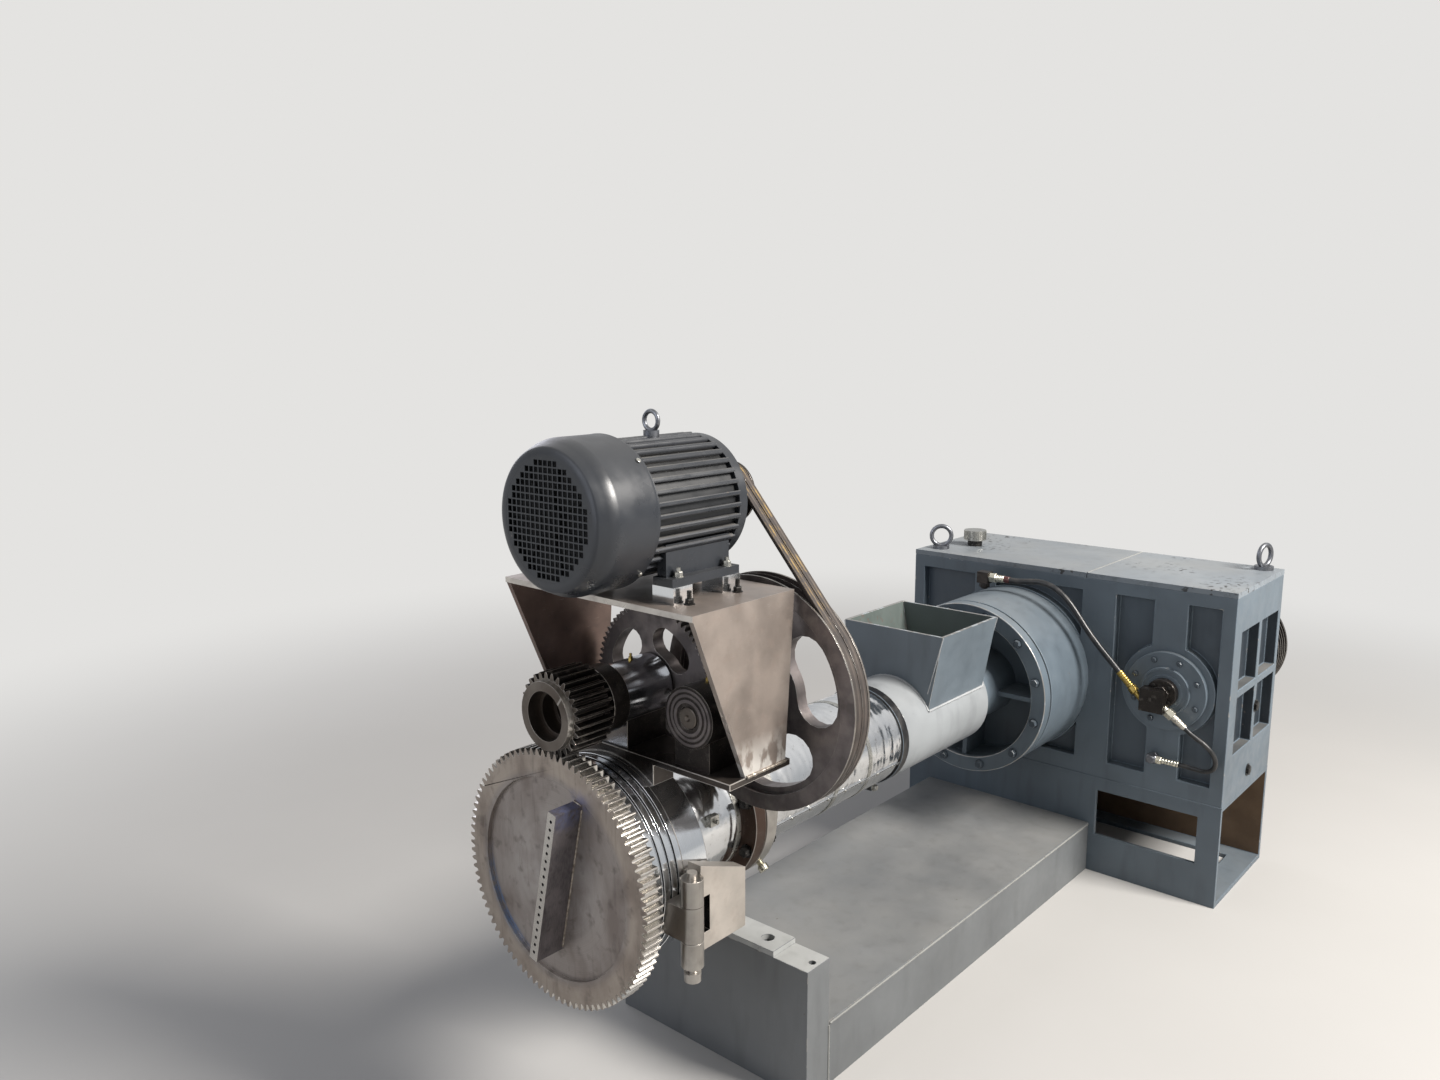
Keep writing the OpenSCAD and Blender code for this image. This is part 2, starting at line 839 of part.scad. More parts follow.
// Bent bracket over the gear train, with packers for the motor's feet.
module drive_bracket() {
    fold = bracket_top - bracket_plate / 2;
    pad = 45;
    color(raw_steel)
        union() {
            box([bracket_front, bracket_right, bracket_top - bracket_plate],
                [bracket_rear, bracket_left, bracket_top]);
            for (side = [bracket_right + bracket_plate, bracket_left])
                translate([0, side, 0])
                    rotate([90, 0, 0])
                        linear_extrude(bracket_plate)
                            polygon([
                                [bracket_front, fold], [bracket_rear, fold],
                                [saddle_rear - 14, saddle_top], [saddle_front + 40, saddle_top]
                            ]);
            for (side = [-1, 1])
                for (start = [foot_front, foot_rear - pad])
                    box([start, motor_y + side * foot_offset - 24, bracket_top - 1],
                        [start + pad, motor_y + side * foot_offset + 24, bracket_top + packer_height]);
        }
}

// Bearing tube of the pinion shaft, on its foot.
module pinion_bearing() {
    front = gear_x + pinion_length + 12;
    collar = 38;
    rear = second_x - 4;
    color(steel)
        difference() {
            union() {
                round_x(front, front + collar, 62, 0, pinion_z);
                round_x(front + collar - 1, rear, 56, 0, pinion_z);
                box([saddle_front + 6, -40, saddle_top], [rear - 2, 40, pinion_z]);
            }
            round_x(front - 1, rear + 1, pinion_shaft + run, 0, pinion_z);
        }
}

// Bearing housing of the wheel shaft, on its foot.
module wheel_bearing() {
    front = head_x - 48;
    rear = second_x - 10;
    color(dark)
        difference() {
            union() {
                round_x(front, rear, 55, wheel_y, pinion_z);
                box([front + 8, wheel_y - 40, saddle_top], [rear - 2, wheel_y + 40, pinion_z]);
            }
            round_x(front - 1, rear + 1, wheel_shaft + run, wheel_y, pinion_z);
        }
}

// A bent slot's outline: an arc of a ring with round ends.
module kidney(middle, half_width, half_angle) {
    steps = 8;
    polygon(concat(
        [for (i = [0:steps]) polar(middle + half_width, half_angle * (2 * i / steps - 1))],
        [for (i = [1:steps - 1]) polar(middle, half_angle) + polar(half_width, half_angle + 180 * i / steps)],
        [for (i = [0:steps]) polar(middle - half_width, half_angle * (1 - 2 * i / steps))],
        [for (i = [1:steps - 1])
            polar(middle, -half_angle) + polar(half_width, 180 - half_angle + 180 * i / steps)]
    ));
}

// A belt loop's outline: an arc round each pulley, joined by their tangents.
module belt_loop(grow) {
    small = motor_pulley_radius + grow;
    large = wheel_radius + grow;
    gap = [wheel_y - motor_y, pinion_z - motor_height];
    heading = atan2(gap[1], gap[0]);
    lean = acos((small - large) / norm(gap));
    small_arc = [for (i = [0:24]) heading + lean + (360 - 2 * lean) * i / 24];
    large_arc = [for (i = [0:48]) heading - lean + 2 * lean * i / 48];
    polygon(concat(
        [for (a = small_arc) [motor_y, motor_height] + polar(small, a)],
        [for (a = large_arc) [wheel_y, pinion_z] + polar(large, a)]
    ));
}

// The middle of one belt along X.
function belt_middle(index) = wheel_x + wheel_width / 2 + (index - 0.5) * belt_pitch;

// One belt between the motor pulley and the belt wheel.
module belt(index) {
    color(dark)
        slab_x(belt_middle(index) - belt_width / 2, belt_middle(index) + belt_width / 2)
            difference() {
                belt_loop(0);
                belt_loop(1 - belt_thickness);
            }
}

// Belt nearer to the head.
module belt_front() {
    belt(0);
}

// Belt nearer to the gearbox.
module belt_rear() {
    belt(1);
}

// The grooves of a pulley, cut for both belts.
module belt_grooves(radius, y, z) {
    half = belt_width / 2 + 2 * run;
    for (index = [0, 1])
        tube_x(belt_middle(index) - half, belt_middle(index) + half,
            radius + 1, radius - belt_thickness, y, z);
}

// Motor: finned body, end shields and feet.
module motor_body() {
    front = motor_x + fan_cover_length;
    feet_z = bracket_top + packer_height;
    shield = 118;
    body = 106;
    color(dark)
        union() {
            round_x(front - 20, front + 6, fan_cover_radius - 4 - run, motor_y, motor_height);
            round_x(front, motor_end_x - 24, body, motor_y, motor_height);
            round_x(motor_end_x - 34, motor_end_x - 14, shield - 4, motor_y, motor_height);
            round_x(motor_end_x - 15, motor_end_x, 74, motor_y, motor_height);
            lifting_eye([head_x - 31, motor_y, motor_height + shield - 2], 16, 4, 0);
            for (turn = [0:10:350])
                translate([0, motor_y, motor_height])
                    rotate([turn, 0, 0])
                        box([front, -2, body - 6], [motor_end_x - 33, 2, shield - 1]);
            for (side = [-1, 1])
                let (middle = motor_y + side * foot_offset) {
                    box([foot_front, middle - 22, feet_z], [foot_rear, middle + 22, feet_z + 14]);
                    box([foot_front + 5, middle - side * 7 - 10, feet_z + 13],
                        [foot_rear - 5, middle - side * 7 + 10, motor_height - 50]);
                }
        }
}

// Fan cover: a domed shell, closed by the grille's disc.
module motor_fan_cover() {
    slope = 38;
    wall = 4;
    color(dark)
        translate([motor_x, motor_y, motor_height])
            rotate([0, 90, 0])
                rotate_extrude()
                    polygon([
                        [0, 0], [grille_radius, 0], [grille_radius + 12, 7], [fan_cover_radius, slope],
                        [fan_cover_radius, fan_cover_length], [fan_cover_radius - wall, fan_cover_length],
                        [fan_cover_radius - wall, slope], [grille_radius + 8, 10], [grille_radius, wall],
                        [0, wall]
                    ]);
}

// Large gear plate of the head, with its hub in the threaded ring.
module ring_gear() {
    color(steel)
        difference() {
            union() {
                translate([0, 0, axis_height])
                    slab_x(gear_x, gear_x + ring_gear_width)
                        gear_outline(ring_module, ring_teeth);
                round_x(gear_x + ring_gear_width - 1, ring_rear_x - 3, gear_hub_radius);
            }
            round_x(gear_x - 1, gear_x + recess_depth, recess_radius);
        }
}

// Deep bar across the gear plate's face, with a row of holes in its front edge.
module perforated_strip() {
    holes = 18;
    step = strip_length / (holes + 1);
    color(steel)
        translate([gear_x, -33, axis_height + 13])
            rotate([12.4, 0, 0])
                difference() {
                    box([-strip_depth, -strip_width / 2, -strip_length / 2],
                        [recess_depth, strip_width / 2, strip_length / 2]);
                    for (i = [0:holes - 1])
                        translate([-strip_depth - 1, 0, (i - (holes - 1) / 2) * step])
                            rotate([0, 90, 0])
                                cylinder(h = 13, r = 3);
                }
}

// Long pinion on its shaft, with a plain hub ring at its front.
module pinion() {
    hub = 61;
    hub_bore = 44;
    color(dark)
        difference() {
            union() {
                translate([0, 0, pinion_z])
                    slab_x(gear_x + 6, gear_x + pinion_length)
                        gear_outline(ring_module, pinion_teeth, 180 / pinion_teeth);
                round_x(gear_x - 6, gear_x + 7, hub, 0, pinion_z);
                round_x(gear_x + pinion_length - 1, second_x + second_width + 12, pinion_shaft, 0, pinion_z);
            }
            round_x(gear_x - 7, gear_x + 60, hub_bore, 0, pinion_z);
        }
}

// Spoked gear on the pinion's shaft.
module intermediate_gear() {
    color(dark)
        difference() {
            translate([0, 0, pinion_z])
                slab_x(second_x, second_x + second_width)
                    gear_outline(second_module, second_teeth);
            round_x(second_x - 1, second_x + second_width + 1, pinion_shaft, 0, pinion_z);
            for (turn = [35:90:305])
                translate([0, 0, pinion_z])
                    slab_x(second_x - 1, second_x + second_width + 1)
                        rotate(turn)
                            kidney(86, 28, 15);
        }
}

// Belt wheel with four bent openings in its web.
module belt_wheel() {
    rim = 30;
    recess = 10;
    wheel_rear = wheel_x + wheel_width;
    color(dark)
        difference() {
            round_x(wheel_x, wheel_rear, wheel_radius, wheel_y, pinion_z);
            belt_grooves(wheel_radius, wheel_y, pinion_z);
            round_x(wheel_x - 1, wheel_rear + 1, wheel_shaft, wheel_y, pinion_z);
            for (turn = [70:90:340])
                translate([0, wheel_y, pinion_z])
                    slab_x(wheel_x - 1, wheel_rear + 1)
                        rotate(turn)
                            kidney(wheel_radius - 86, 44, 17);
            tube_x(wheel_x - 1, wheel_x + recess, wheel_radius - rim, 50, wheel_y, pinion_z);
            tube_x(wheel_rear - recess, wheel_rear + 1, wheel_radius - rim, 50, wheel_y, pinion_z);
        }
}

// Small gear and shaft of the belt wheel.
module wheel_pinion() {
    color(steel)
        union() {
            translate([0, wheel_y, pinion_z])
                slab_x(second_x, second_x + second_width)
                    gear_outline(second_module, wheel_pinion_teeth, 180 / wheel_pinion_teeth);
            round_x(head_x - 44, wheel_x + wheel_width + 6, wheel_shaft, wheel_y, pinion_z);
        }
}

// Small pulley on the motor's shaft.
module motor_pulley() {
    wheel_rear = wheel_x + wheel_width;
    color(dark)
        difference() {
            union() {
                round_x(wheel_x, wheel_rear, motor_pulley_radius, motor_y, motor_height);
                round_x(motor_end_x + 0.5, wheel_rear + 4, 14, motor_y, motor_height);
            }
            belt_grooves(motor_pulley_radius, motor_y, motor_height);
        }
}

base_frame();
deck_plate();
front_pedestal();
gearbox_stand();
gearbox_case();
gearbox_lid_left();
gearbox_lid_right();
bearing_cover();
oil_union();
upper_hose();
lower_hose();
drum_fitting();
drain_valve();
input_pulley();
thrust_drum();
drum_flange();
feed_neck();
feed_barrel();
feed_box();
feed_screw();
screw_barrel();
clamp_band();
rear_heater_cover();
barrel_flange();
front_heater_cover();
barrel_support();
head_cylinder();
threaded_ring();
hinge_leaf();
hinge_pin();
saddle_plate();
drive_bracket();
pinion_bearing();
wheel_bearing();
belt_front();
belt_rear();
motor_body();
motor_fan_cover();
ring_gear();
perforated_strip();
pinion();
intermediate_gear();
belt_wheel();
wheel_pinion();
motor_pulley();
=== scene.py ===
"""Looks of a plastic extruder with a gear-driven head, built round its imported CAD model.

Sizes and places are millimetres in the CAD model's own frame. MM turns them to metres when a mesh is made.
"""
import json
import math

import bmesh
import bpy
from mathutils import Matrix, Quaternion, Vector, noise


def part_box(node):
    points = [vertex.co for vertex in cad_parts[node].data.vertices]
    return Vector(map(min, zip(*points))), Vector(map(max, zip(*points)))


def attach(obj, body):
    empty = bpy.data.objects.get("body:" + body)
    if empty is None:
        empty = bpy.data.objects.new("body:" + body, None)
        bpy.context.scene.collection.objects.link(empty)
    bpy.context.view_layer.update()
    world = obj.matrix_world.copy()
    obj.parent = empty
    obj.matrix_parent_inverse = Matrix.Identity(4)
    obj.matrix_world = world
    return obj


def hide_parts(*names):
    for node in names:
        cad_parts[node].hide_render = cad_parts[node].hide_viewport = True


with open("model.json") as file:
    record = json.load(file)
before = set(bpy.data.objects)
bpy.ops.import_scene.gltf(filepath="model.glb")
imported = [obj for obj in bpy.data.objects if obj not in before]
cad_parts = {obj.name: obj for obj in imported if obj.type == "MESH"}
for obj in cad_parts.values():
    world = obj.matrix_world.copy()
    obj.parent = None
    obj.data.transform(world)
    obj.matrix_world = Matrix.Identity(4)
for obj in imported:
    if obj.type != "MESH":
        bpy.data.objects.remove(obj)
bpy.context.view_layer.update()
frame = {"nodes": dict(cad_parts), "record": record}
MM = 0.001
NODES = frame["nodes"]
RECORD = frame["record"]
BODY = {node: body for body, nodes in RECORD["behaviour"]["bodies"].items() for node in nodes}
LID_THICKNESS = 14
PACKER_HEIGHT = 28
X, Y, Z = Vector((1, 0, 0)), Vector((0, 1, 0)), Vector((0, 0, 1))


# Places taken from the CAD model

def span(node):
    """The lowest and the highest corner of a CAD node, in millimetres."""
    low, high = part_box(node)
    return low / MM, high / MM


def middle(node):
    """The middle of a CAD node's box, in millimetres."""
    low, high = span(node)
    return (low + high) / 2


AXIS = middle("front_heater_cover").z
PINION_Z = middle("intermediate_gear").z
WHEEL_Y = middle("belt_wheel").y
MOTOR = middle("motor_fan_cover")
COVER = middle("bearing_cover")
CASE_LOW, CASE_HIGH = span("gearbox_case")
LID_TOP = CASE_HIGH.z + LID_THICKNESS
SEAM_Y = span("gearbox_lid_right")[1].y + 1
BASE_LOW, BASE_HIGH = span("base_frame")
DRUM_LOW = span("drum_flange")[0]
HEAD_LOW, HEAD_HIGH = span("head_cylinder")
FLANGE_LOW, FLANGE_HIGH = span("barrel_flange")
WHEEL_LOW, WHEEL_HIGH = span("belt_wheel")
BRACKET_LOW, BRACKET_HIGH = span("drive_bracket")
SADDLE_LOW, SADDLE_HIGH = span("saddle_plate")
FEED_TOP = span("feed_barrel")[1].z
BOX_LOW, BOX_HIGH = span("feed_box")
GEAR_LOW = span("ring_gear")[0]
FAN_LOW, FAN_HIGH = span("motor_fan_cover")
PACKER_TOP = BRACKET_HIGH.z
BRACKET_TOP = PACKER_TOP - PACKER_HEIGHT


# Colours and nodes

def srgb(code, gain=1.0):
    """An sRGB hex colour as linear values, made darker or lighter by gain."""
    parts = [int(code[i:i + 2], 16) / 255 for i in (1, 3, 5)]
    linear = [c / 12.92 if c <= 0.04045 else ((c + 0.055) / 1.055) ** 2.4 for c in parts]
    return (*[min(1, c * gain) for c in linear], 1)


def add(tree, kind, inputs=None, **settings):
    """Adds a node with its settings; its inputs take values or sockets. Returns its first shown output."""
    node = tree.nodes.new(kind)
    for key, value in settings.items():
        setattr(node, key, value)
    for key, value in (inputs or {}).items():
        if isinstance(value, bpy.types.NodeSocket):
            tree.links.new(value, node.inputs[key])
        else:
            node.inputs[key].default_value = value
    shown = [socket for socket in node.outputs if socket.enabled]
    return shown[0] if shown else None


class Look:
    """A material in the making: its node tree, its Object coordinates and the patterns laid on them."""

    def __init__(self, name):
        self.made = bpy.data.materials.new(name)
        self.made.use_nodes = True
        self.tree = self.made.node_tree
        self.tree.nodes.clear()
        self.place = add(self.tree, "ShaderNodeTexCoord").node.outputs["Object"]

    def cloud(self, size, detail, place=None):
        """Noise whose lumps have one size in millimetres."""
        inputs = {"Vector": place or self.place, "Scale": 1 / (size * MM), "Detail": detail}
        return add(self.tree, "ShaderNodeTexNoise", inputs)

    def patches(self, size, low=0.35, high=0.65, stretch=(1, 1, 1), detail=3.0):
        """A mask of soft patches of one size in millimetres, drawn out along an axis by its stretch."""
        drawn = add(self.tree, "ShaderNodeMapping", {"Vector": self.place, "Scale": [1 / s for s in stretch]})
        return self.growing(self.cloud(size, detail, drawn), low, high)

    def growing(self, value, low, high):
        """A mask that grows from none to full as a value goes from low to high."""
        return add(self.tree, "ShaderNodeMapRange", {"Value": value, "From Min": low, "From Max": high})

    def between(self, mask, low, high):
        """A value that goes from low to high with a mask."""
        return add(self.tree, "ShaderNodeMapRange", {"Value": mask, "To Min": low, "To Max": high})

    def both(self, first, second):
        """A mask where two masks meet."""
        return add(self.tree, "ShaderNodeMath", {0: first, 1: second}, operation="MULTIPLY")

    def layered(self, base, *layers):
        """Lays colours over a base, each by its mask and, as a third value, no stronger than that share."""
        for mask, colour, *share in layers:
            mask = self.between(mask, 0.0, share[0]) if share else mask
            base, colour = (srgb(c) if isinstance(c, str) else c for c in (base, colour))
            base = add(self.tree, "ShaderNodeMix", {0: mask, 6: base, 7: colour}, data_type="RGBA")
        return base

    def relief(self, height, depth, normal=None):
        """A bump of that depth in millimetres, over another bump where one is given."""
        inputs = {"Height": height, "Distance": abs(depth) * MM, "Strength": 1.0}
        if normal is not None:
            inputs["Normal"] = normal
        return add(self.tree, "ShaderNodeBump", inputs, invert=depth < 0)

    def along(self, axis):
        """The place along one axis, in metres."""
        return add(self.tree, "ShaderNodeSeparateXYZ", {"Vector": self.place}).node.outputs[axis]

    def radius(self, y=0.0, z=AXIS):
        """The distance from an axis along X, in metres."""
        flat = {"Vector": self.place, "Location": (0, -y * MM, -z * MM), "Scale": (0, 1, 1)}
        centred = add(self.tree, "ShaderNodeMapping", flat)
        return add(self.tree, "ShaderNodeVectorMath", {0: centred}, operation="LENGTH")

    def cutter_marks(self, travel, pitch):
        """Marks of a lathe's cutter: a mask that changes with the tool's travel only."""
        inputs = {"W": travel, "Scale": 1 / (pitch * MM), "Detail": 2.0}
        return add(self.tree, "ShaderNodeTexNoise", inputs, noise_dimensions="1D")

    def facing_up(self, low=0.55, high=0.95):
        """A mask of what faces upwards, where dust settles."""
        normal = add(self.tree, "ShaderNodeNewGeometry").node.outputs["Normal"]
        height = add(self.tree, "ShaderNodeSeparateXYZ", {"Vector": normal}).node.outputs["Z"]
        return self.growing(height, low, high)

    def heat_tint(self, at, reach, ragged=9):
        """A mask round a point in millimetres, with a ragged rim, where a weld's heat tinted the steel."""
        ends = {0: self.place, 1: Vector(at) * MM}
        near = add(self.tree, "ShaderNodeVectorMath", ends, operation="DISTANCE")
        return self.both(self.growing(near, reach * MM, reach * 0.35 * MM), self.patches(ragged, 0.3, 0.6))

    def shaded(self, **inputs):
        """The finished material. The Principled shader's inputs are named with low lines for spaces."""
        named = {key.replace("_", " "): value for key, value in inputs.items()}
        surface = add(self.tree, "ShaderNodeBsdfPrincipled", named)
        add(self.tree, "ShaderNodeOutputMaterial", {"Surface": surface})
        return self.made


# Materials

def enamel(name, code, dust=0.2, chips=0.72, gloss=0.42, primer="#5d5853"):
    """Sprayed synthetic enamel on welded or cast steel: orange peel, patchy gloss, runs, dust, a few chips."""
    look = Look(name)
    tone = look.patches(260)
    grime = look.patches(34, 0.52, 0.82, stretch=(1, 1, 5))
    handled = look.patches(40, 0.35, 0.7, detail=5.0)
    chipped = look.both(look.patches(16, chips, chips + 0.025), look.patches(190, 0.5, 0.6))
    settled_dust = look.both(look.facing_up(), look.patches(220, 0.2, 0.8, detail=7.0))
    dusty = look.between(settled_dust, 0.0, dust)
    colour = look.layered(srgb(code, 0.86), (tone, srgb(code, 1.12)))
    colour = look.layered(colour, (handled, srgb(code, 1.4), 0.1),
                     (grime, srgb(code, 0.5), 0.4),
                     (dusty, "#aaa69e"), (chipped, primer))
    peel = look.cloud(3.0, 1.0)
    skin = look.relief(peel, 0.02)
    skin = look.relief(chipped, -0.12, skin)
    rough = add(look.tree, "ShaderNodeMath", {0: look.between(handled, gloss - 0.07, gloss + 0.1), 1: dusty},
                operation="ADD", use_clamp=True)
    return look.shaded(Base_Color=colour, Roughness=rough, Normal=skin, IOR=1.5)


def worn_edge(name, code, bare=0.6):
    """The rubbed edge of an enamelled plate: the paint is thin there and bare steel shows in stretches."""
    look = Look(name)
    rubbed = look.patches(22, bare, bare + 0.07, detail=5.0)
    tone = look.patches(6)
    colour = look.layered(srgb(code, 1.08), (tone, srgb(code, 1.3)), (rubbed, "#a2a09c"))
    return look.shaded(Base_Color=colour, Metallic=look.between(rubbed, 0.0, 0.85),
           Roughness=look.between(rubbed, 0.5, 0.36), Normal=look.relief(rubbed, -0.06))


def rolled_plate(name, code, stain="#5b4a3e", oil=0.25, rough=0.42, ground=None):
    """Hot-rolled or flame-cut plate without paint: mill scale, rust bloom, oil patches and long scratches.

    Ground is the height of a weld round which it was ground bright.
    """
    look = Look(name)
    scale = look.patches(75, 0.38, 0.62, detail=7.0)
    bloom = look.patches(24, 0.52, 0.74, detail=8.0)
    oily = look.patches(130, 0.5, 0.66, stretch=(1, 1, 1.8))
    scratch = look.patches(1.8, 0.66, 0.76, stretch=(9, 1.4, 1))
    colour = look.layered(srgb(code, 0.88), (scale, srgb(code, 1.14)),
                     (bloom, stain, 0.4),
                     (oily, "#1d1a18", oil),
                     (scratch, "#cfcac3", 0.22))
    if ground:
        low = look.growing(look.along("Z"), (ground + 70) * MM, (ground + 15) * MM)
        bright = look.both(low, look.patches(24, 0.44, 0.52, stretch=(1, 1, 2), detail=8.0))
        colour = look.layered(colour, (bright, "#e6e3de", 0.85))
    uneven = look.relief(scale, 0.12)
    return look.shaded(Base_Color=colour, Metallic=look.between(bloom, 0.68, 0.35),
           Roughness=look.between(oily, rough, rough * 0.62), Normal=look.relief(scratch, -0.04, uneven))


def turned_steel(name, code, pitch=1.6, rough=0.3, y=0.0, z=AXIS, oil=0.2, film="#3a2f28", facing=True):
    """Steel turned on a lathe: fine cutter rings, a brownish oil film in patches and finger-sized smears."""
    look = Look(name)
    rings = look.cutter_marks(look.radius(y, z) if facing else look.along("X"), pitch)
    tone = look.patches(90, 0.35, 0.68, detail=6.0)
    smear = look.patches(30, 0.5, 0.72, stretch=(1, 1.3, 1.3), detail=6.0)
    colour = look.layered(srgb(code, 0.84), (rings, srgb(code, 1.14)),
                     (tone, film, oil),
                     (smear, srgb(film, 0.6), oil * 0.8))
    return look.shaded(Base_Color=colour, Metallic=0.96, Roughness=look.between(smear, rough, rough * 1.5),
           Normal=look.relief(rings, 0.035))


def oiled_steel(name, code, rough=0.3, sheen=0.5):
    """Hobbed or cast steel black with gear oil: wet patches that shine beside dull ones, grit stuck in them."""
    look = Look(name)
    wet = look.patches(42, 0.4, 0.62, detail=5.0)
    grit = look.patches(2.2, 0.62, 0.7, detail=2.0)
    rubbed = look.patches(26, 0.58, 0.74, detail=6.0)
    colour = look.layered(srgb(code, 0.75), (wet, srgb(code, 1.3)),
                     (rubbed, "#8d8781", sheen),
                     (grit, "#5a4b3c", 0.5))
    return look.shaded(Base_Color=colour, Metallic=look.between(grit, 0.9, 0.4),
           Roughness=look.between(wet, rough + 0.16, rough), Normal=look.relief(grit, 0.1))


def polished_sheet(name, code="#d9dadb"):
    """Bright-rolled stainless sheet bent round the heaters: a fine roll grain, dents, smears of hand grease."""
    look = Look(name)
    grain = look.patches(1.2, 0.3, 0.7, stretch=(30, 1, 1))
    dents = look.cloud(38, 2.0)
    smear = look.patches(48, 0.48, 0.75, detail=6.0)
    stain = look.patches(11, 0.62, 0.78, detail=6.0)
    colour = look.layered(code, (smear, "#9c9a98", 0.35),
                     (stain, "#6d5f50", 0.45))
    buckled = look.relief(dents, 1.6)
    return look.shaded(Base_Color=colour, Metallic=1.0, Roughness=look.between(smear, 0.13, 0.3),
           Normal=look.relief(grain, 0.012, buckled))


def welded_bar():
    """Flat bar welded across the gear: slate grey, drawn lengthways, tinted blue at its top by the weld."""
    look = Look("welded_flat_bar")
    drawn = look.patches(2.2, 0.35, 0.65, stretch=(1, 1, 16))
    tone = look.patches(46, 0.36, 0.66, detail=6.0)
    oily = look.patches(18, 0.56, 0.74, detail=6.0)
    tint = look.heat_tint((GEAR_LOW.x - 20, -64, AXIS + 150), 40)
    colour = look.layered("#5f5c62", (tone, "#827d80"), (drawn, "#a39d99", 0.25),
                     (oily, "#3a3638", 0.5), (tint, "#7782ae", 0.6))
    return look.shaded(Base_Color=colour, Metallic=0.75, Roughness=look.between(tone, 0.32, 0.46),
           Normal=look.relief(drawn, 0.05))


def gear_face():
    """Face of the ring gear, turned and then handled: warm grey with cutter rings, rust bloom, heat tint and a
    painted sheen in the middle.
    """
    look = Look("turned_gear_face")
    radius = look.radius()
    corner_radius, recess_radius, rim_radius = 0.182, 0.186, 0.2
    rings = look.cutter_marks(radius, 1.4)
    broad = look.cutter_marks(radius, 14)
    bloom = look.patches(55, 0.42, 0.7, stretch=(1, 1, 1.6), detail=7.0)
    drips = look.patches(12, 0.58, 0.75, stretch=(1, 1, 9))
    smudge = look.patches(26, 0.56, 0.72, detail=7.0)
    rim = look.growing(radius, recess_radius, rim_radius)
    off_corner = add(look.tree, "ShaderNodeMath", {0: radius, 1: corner_radius}, operation="SUBTRACT")
    distance = add(look.tree, "ShaderNodeMath", {0: off_corner}, operation="ABSOLUTE")
    corner = look.growing(distance, 0.007, 0.002)
    arc = look.both(corner, look.heat_tint((GEAR_LOW.x, 150, AXIS - 100), 120, 14))
    bar_end = look.heat_tint((GEAR_LOW.x, -72, AXIS + 158), 34)
    # The lighter middle of the face is a painted sheen, a painted reflection.
    middle_part = look.growing(radius, 0.15, 0.04)
    sheen = look.both(middle_part, look.patches(70, 0.35, 0.6, detail=6.0))
    colour = look.layered("#8d8580", (rings, "#a8a19c"), (broad, "#777270", 0.35),
                     (sheen, "#bdb9b6", 0.7),
                     (rim, "#b0a394", 0.5),
                     (bloom, "#655850", 0.55),
                     (smudge, "#4a423e", 0.5),
                     (drips, "#4d4440", 0.3),
                     (arc, "#6a86ac", 0.7), (bar_end, "#6a6f9c", 0.4))
    return look.shaded(Base_Color=colour, Metallic=0.7, Roughness=look.between(bloom, 0.36, 0.56),
           Normal=look.relief(rings, 0.04))


def moulded_rubber(name, code="#17181a"):
    """Hose cover of black synthetic rubber, wrapped when it was cured: a cloth mark and a dusty bloom."""
    look = Look(name)
    wrap = look.patches(1.5, 0.35, 0.65, detail=1.0)
    bloom = look.patches(26, 0.45, 0.75, detail=6.0)
    colour = look.layered(code, (bloom, "#5a5652", 0.4))
    rough = look.between(bloom, 0.34, 0.6)
    return look.shaded(Base_Color=colour, Roughness=rough, Normal=look.relief(wrap, 0.05))


def belt_cloth():
    """Wrapped V-belt: rubberised cloth, brown with dust, rubbed pale in thin lines, yellow on the upper run."""
    look = Look("wrapped_belt_cloth")
    across = add(look.tree, "ShaderNodeAttribute", attribute_name="across").node.outputs["Fac"]
    worn = look.growing(across, 0.55, 0.8)
    yarn = look.patches(1.1, 0.4, 0.6, detail=1.0)
    dust = look.patches(34, 0.35, 0.68, detail=6.0)
    rubbed = look.both(worn, look.patches(70, 0.36, 0.62, detail=7.0))
    upper = look.growing(look.along("Z"), 0.98, 1.06)
    fresh = look.both(look.both(worn, upper), look.patches(30, 0.5, 0.6, detail=7.0))
    colour = look.layered("#262120", (dust, "#51473f", 0.5),
                     (rubbed, "#6d635b", 0.55), (fresh, "#a0854e", 0.8),
                     (yarn, "#3a332d", 0.25))
    return look.shaded(Base_Color=colour, Roughness=0.72, Normal=look.relief(yarn, 0.12))


def plated(name, code, rough=0.26):
    """Zinc- or brass-plated fastener or ferrule: thin plating, dulled in patches, white bloom in corners."""
    look = Look(name)
    dull = look.patches(7, 0.4, 0.66, detail=5.0)
    bloom = look.patches(3, 0.6, 0.74, detail=4.0)
    colour = look.layered(code, (dull, srgb(code, 0.66)), (bloom, "#b9b4a8", 0.4))
    return look.shaded(Base_Color=colour, Metallic=0.95, Roughness=look.between(dull, rough, rough + 0.2),
           Normal=look.relief(dull, 0.02))


def weld_metal(name, code="#9b9389"):
    """Deposited weld metal, wire-brushed: scaly beads, brown in the hollows and bright on the crests."""
    look = Look(name)
    burnt = look.patches(8, 0.42, 0.66, detail=5.0)
    colour = look.layered(code, (burnt, "#4a3f37", 0.75))
    scaly = look.cloud(1.4, 3.0)
    return look.shaded(Base_Color=colour, Metallic=0.8, Roughness=look.between(burnt, 0.36, 0.62),
           Normal=look.relief(scaly, 0.25))


def dark_hollow():
    """Inside of a cover that gets little light: near black as painted shade, under a felt of dust."""
    look = Look("painted_shade_in_cover")
    fluff = look.patches(5, 0.4, 0.7, detail=6.0)
    colour = look.layered("#0d0e10", (fluff, "#26241f", 0.5))
    return look.shaded(Base_Color=colour, Roughness=0.9, Normal=look.relief(fluff, 0.3))


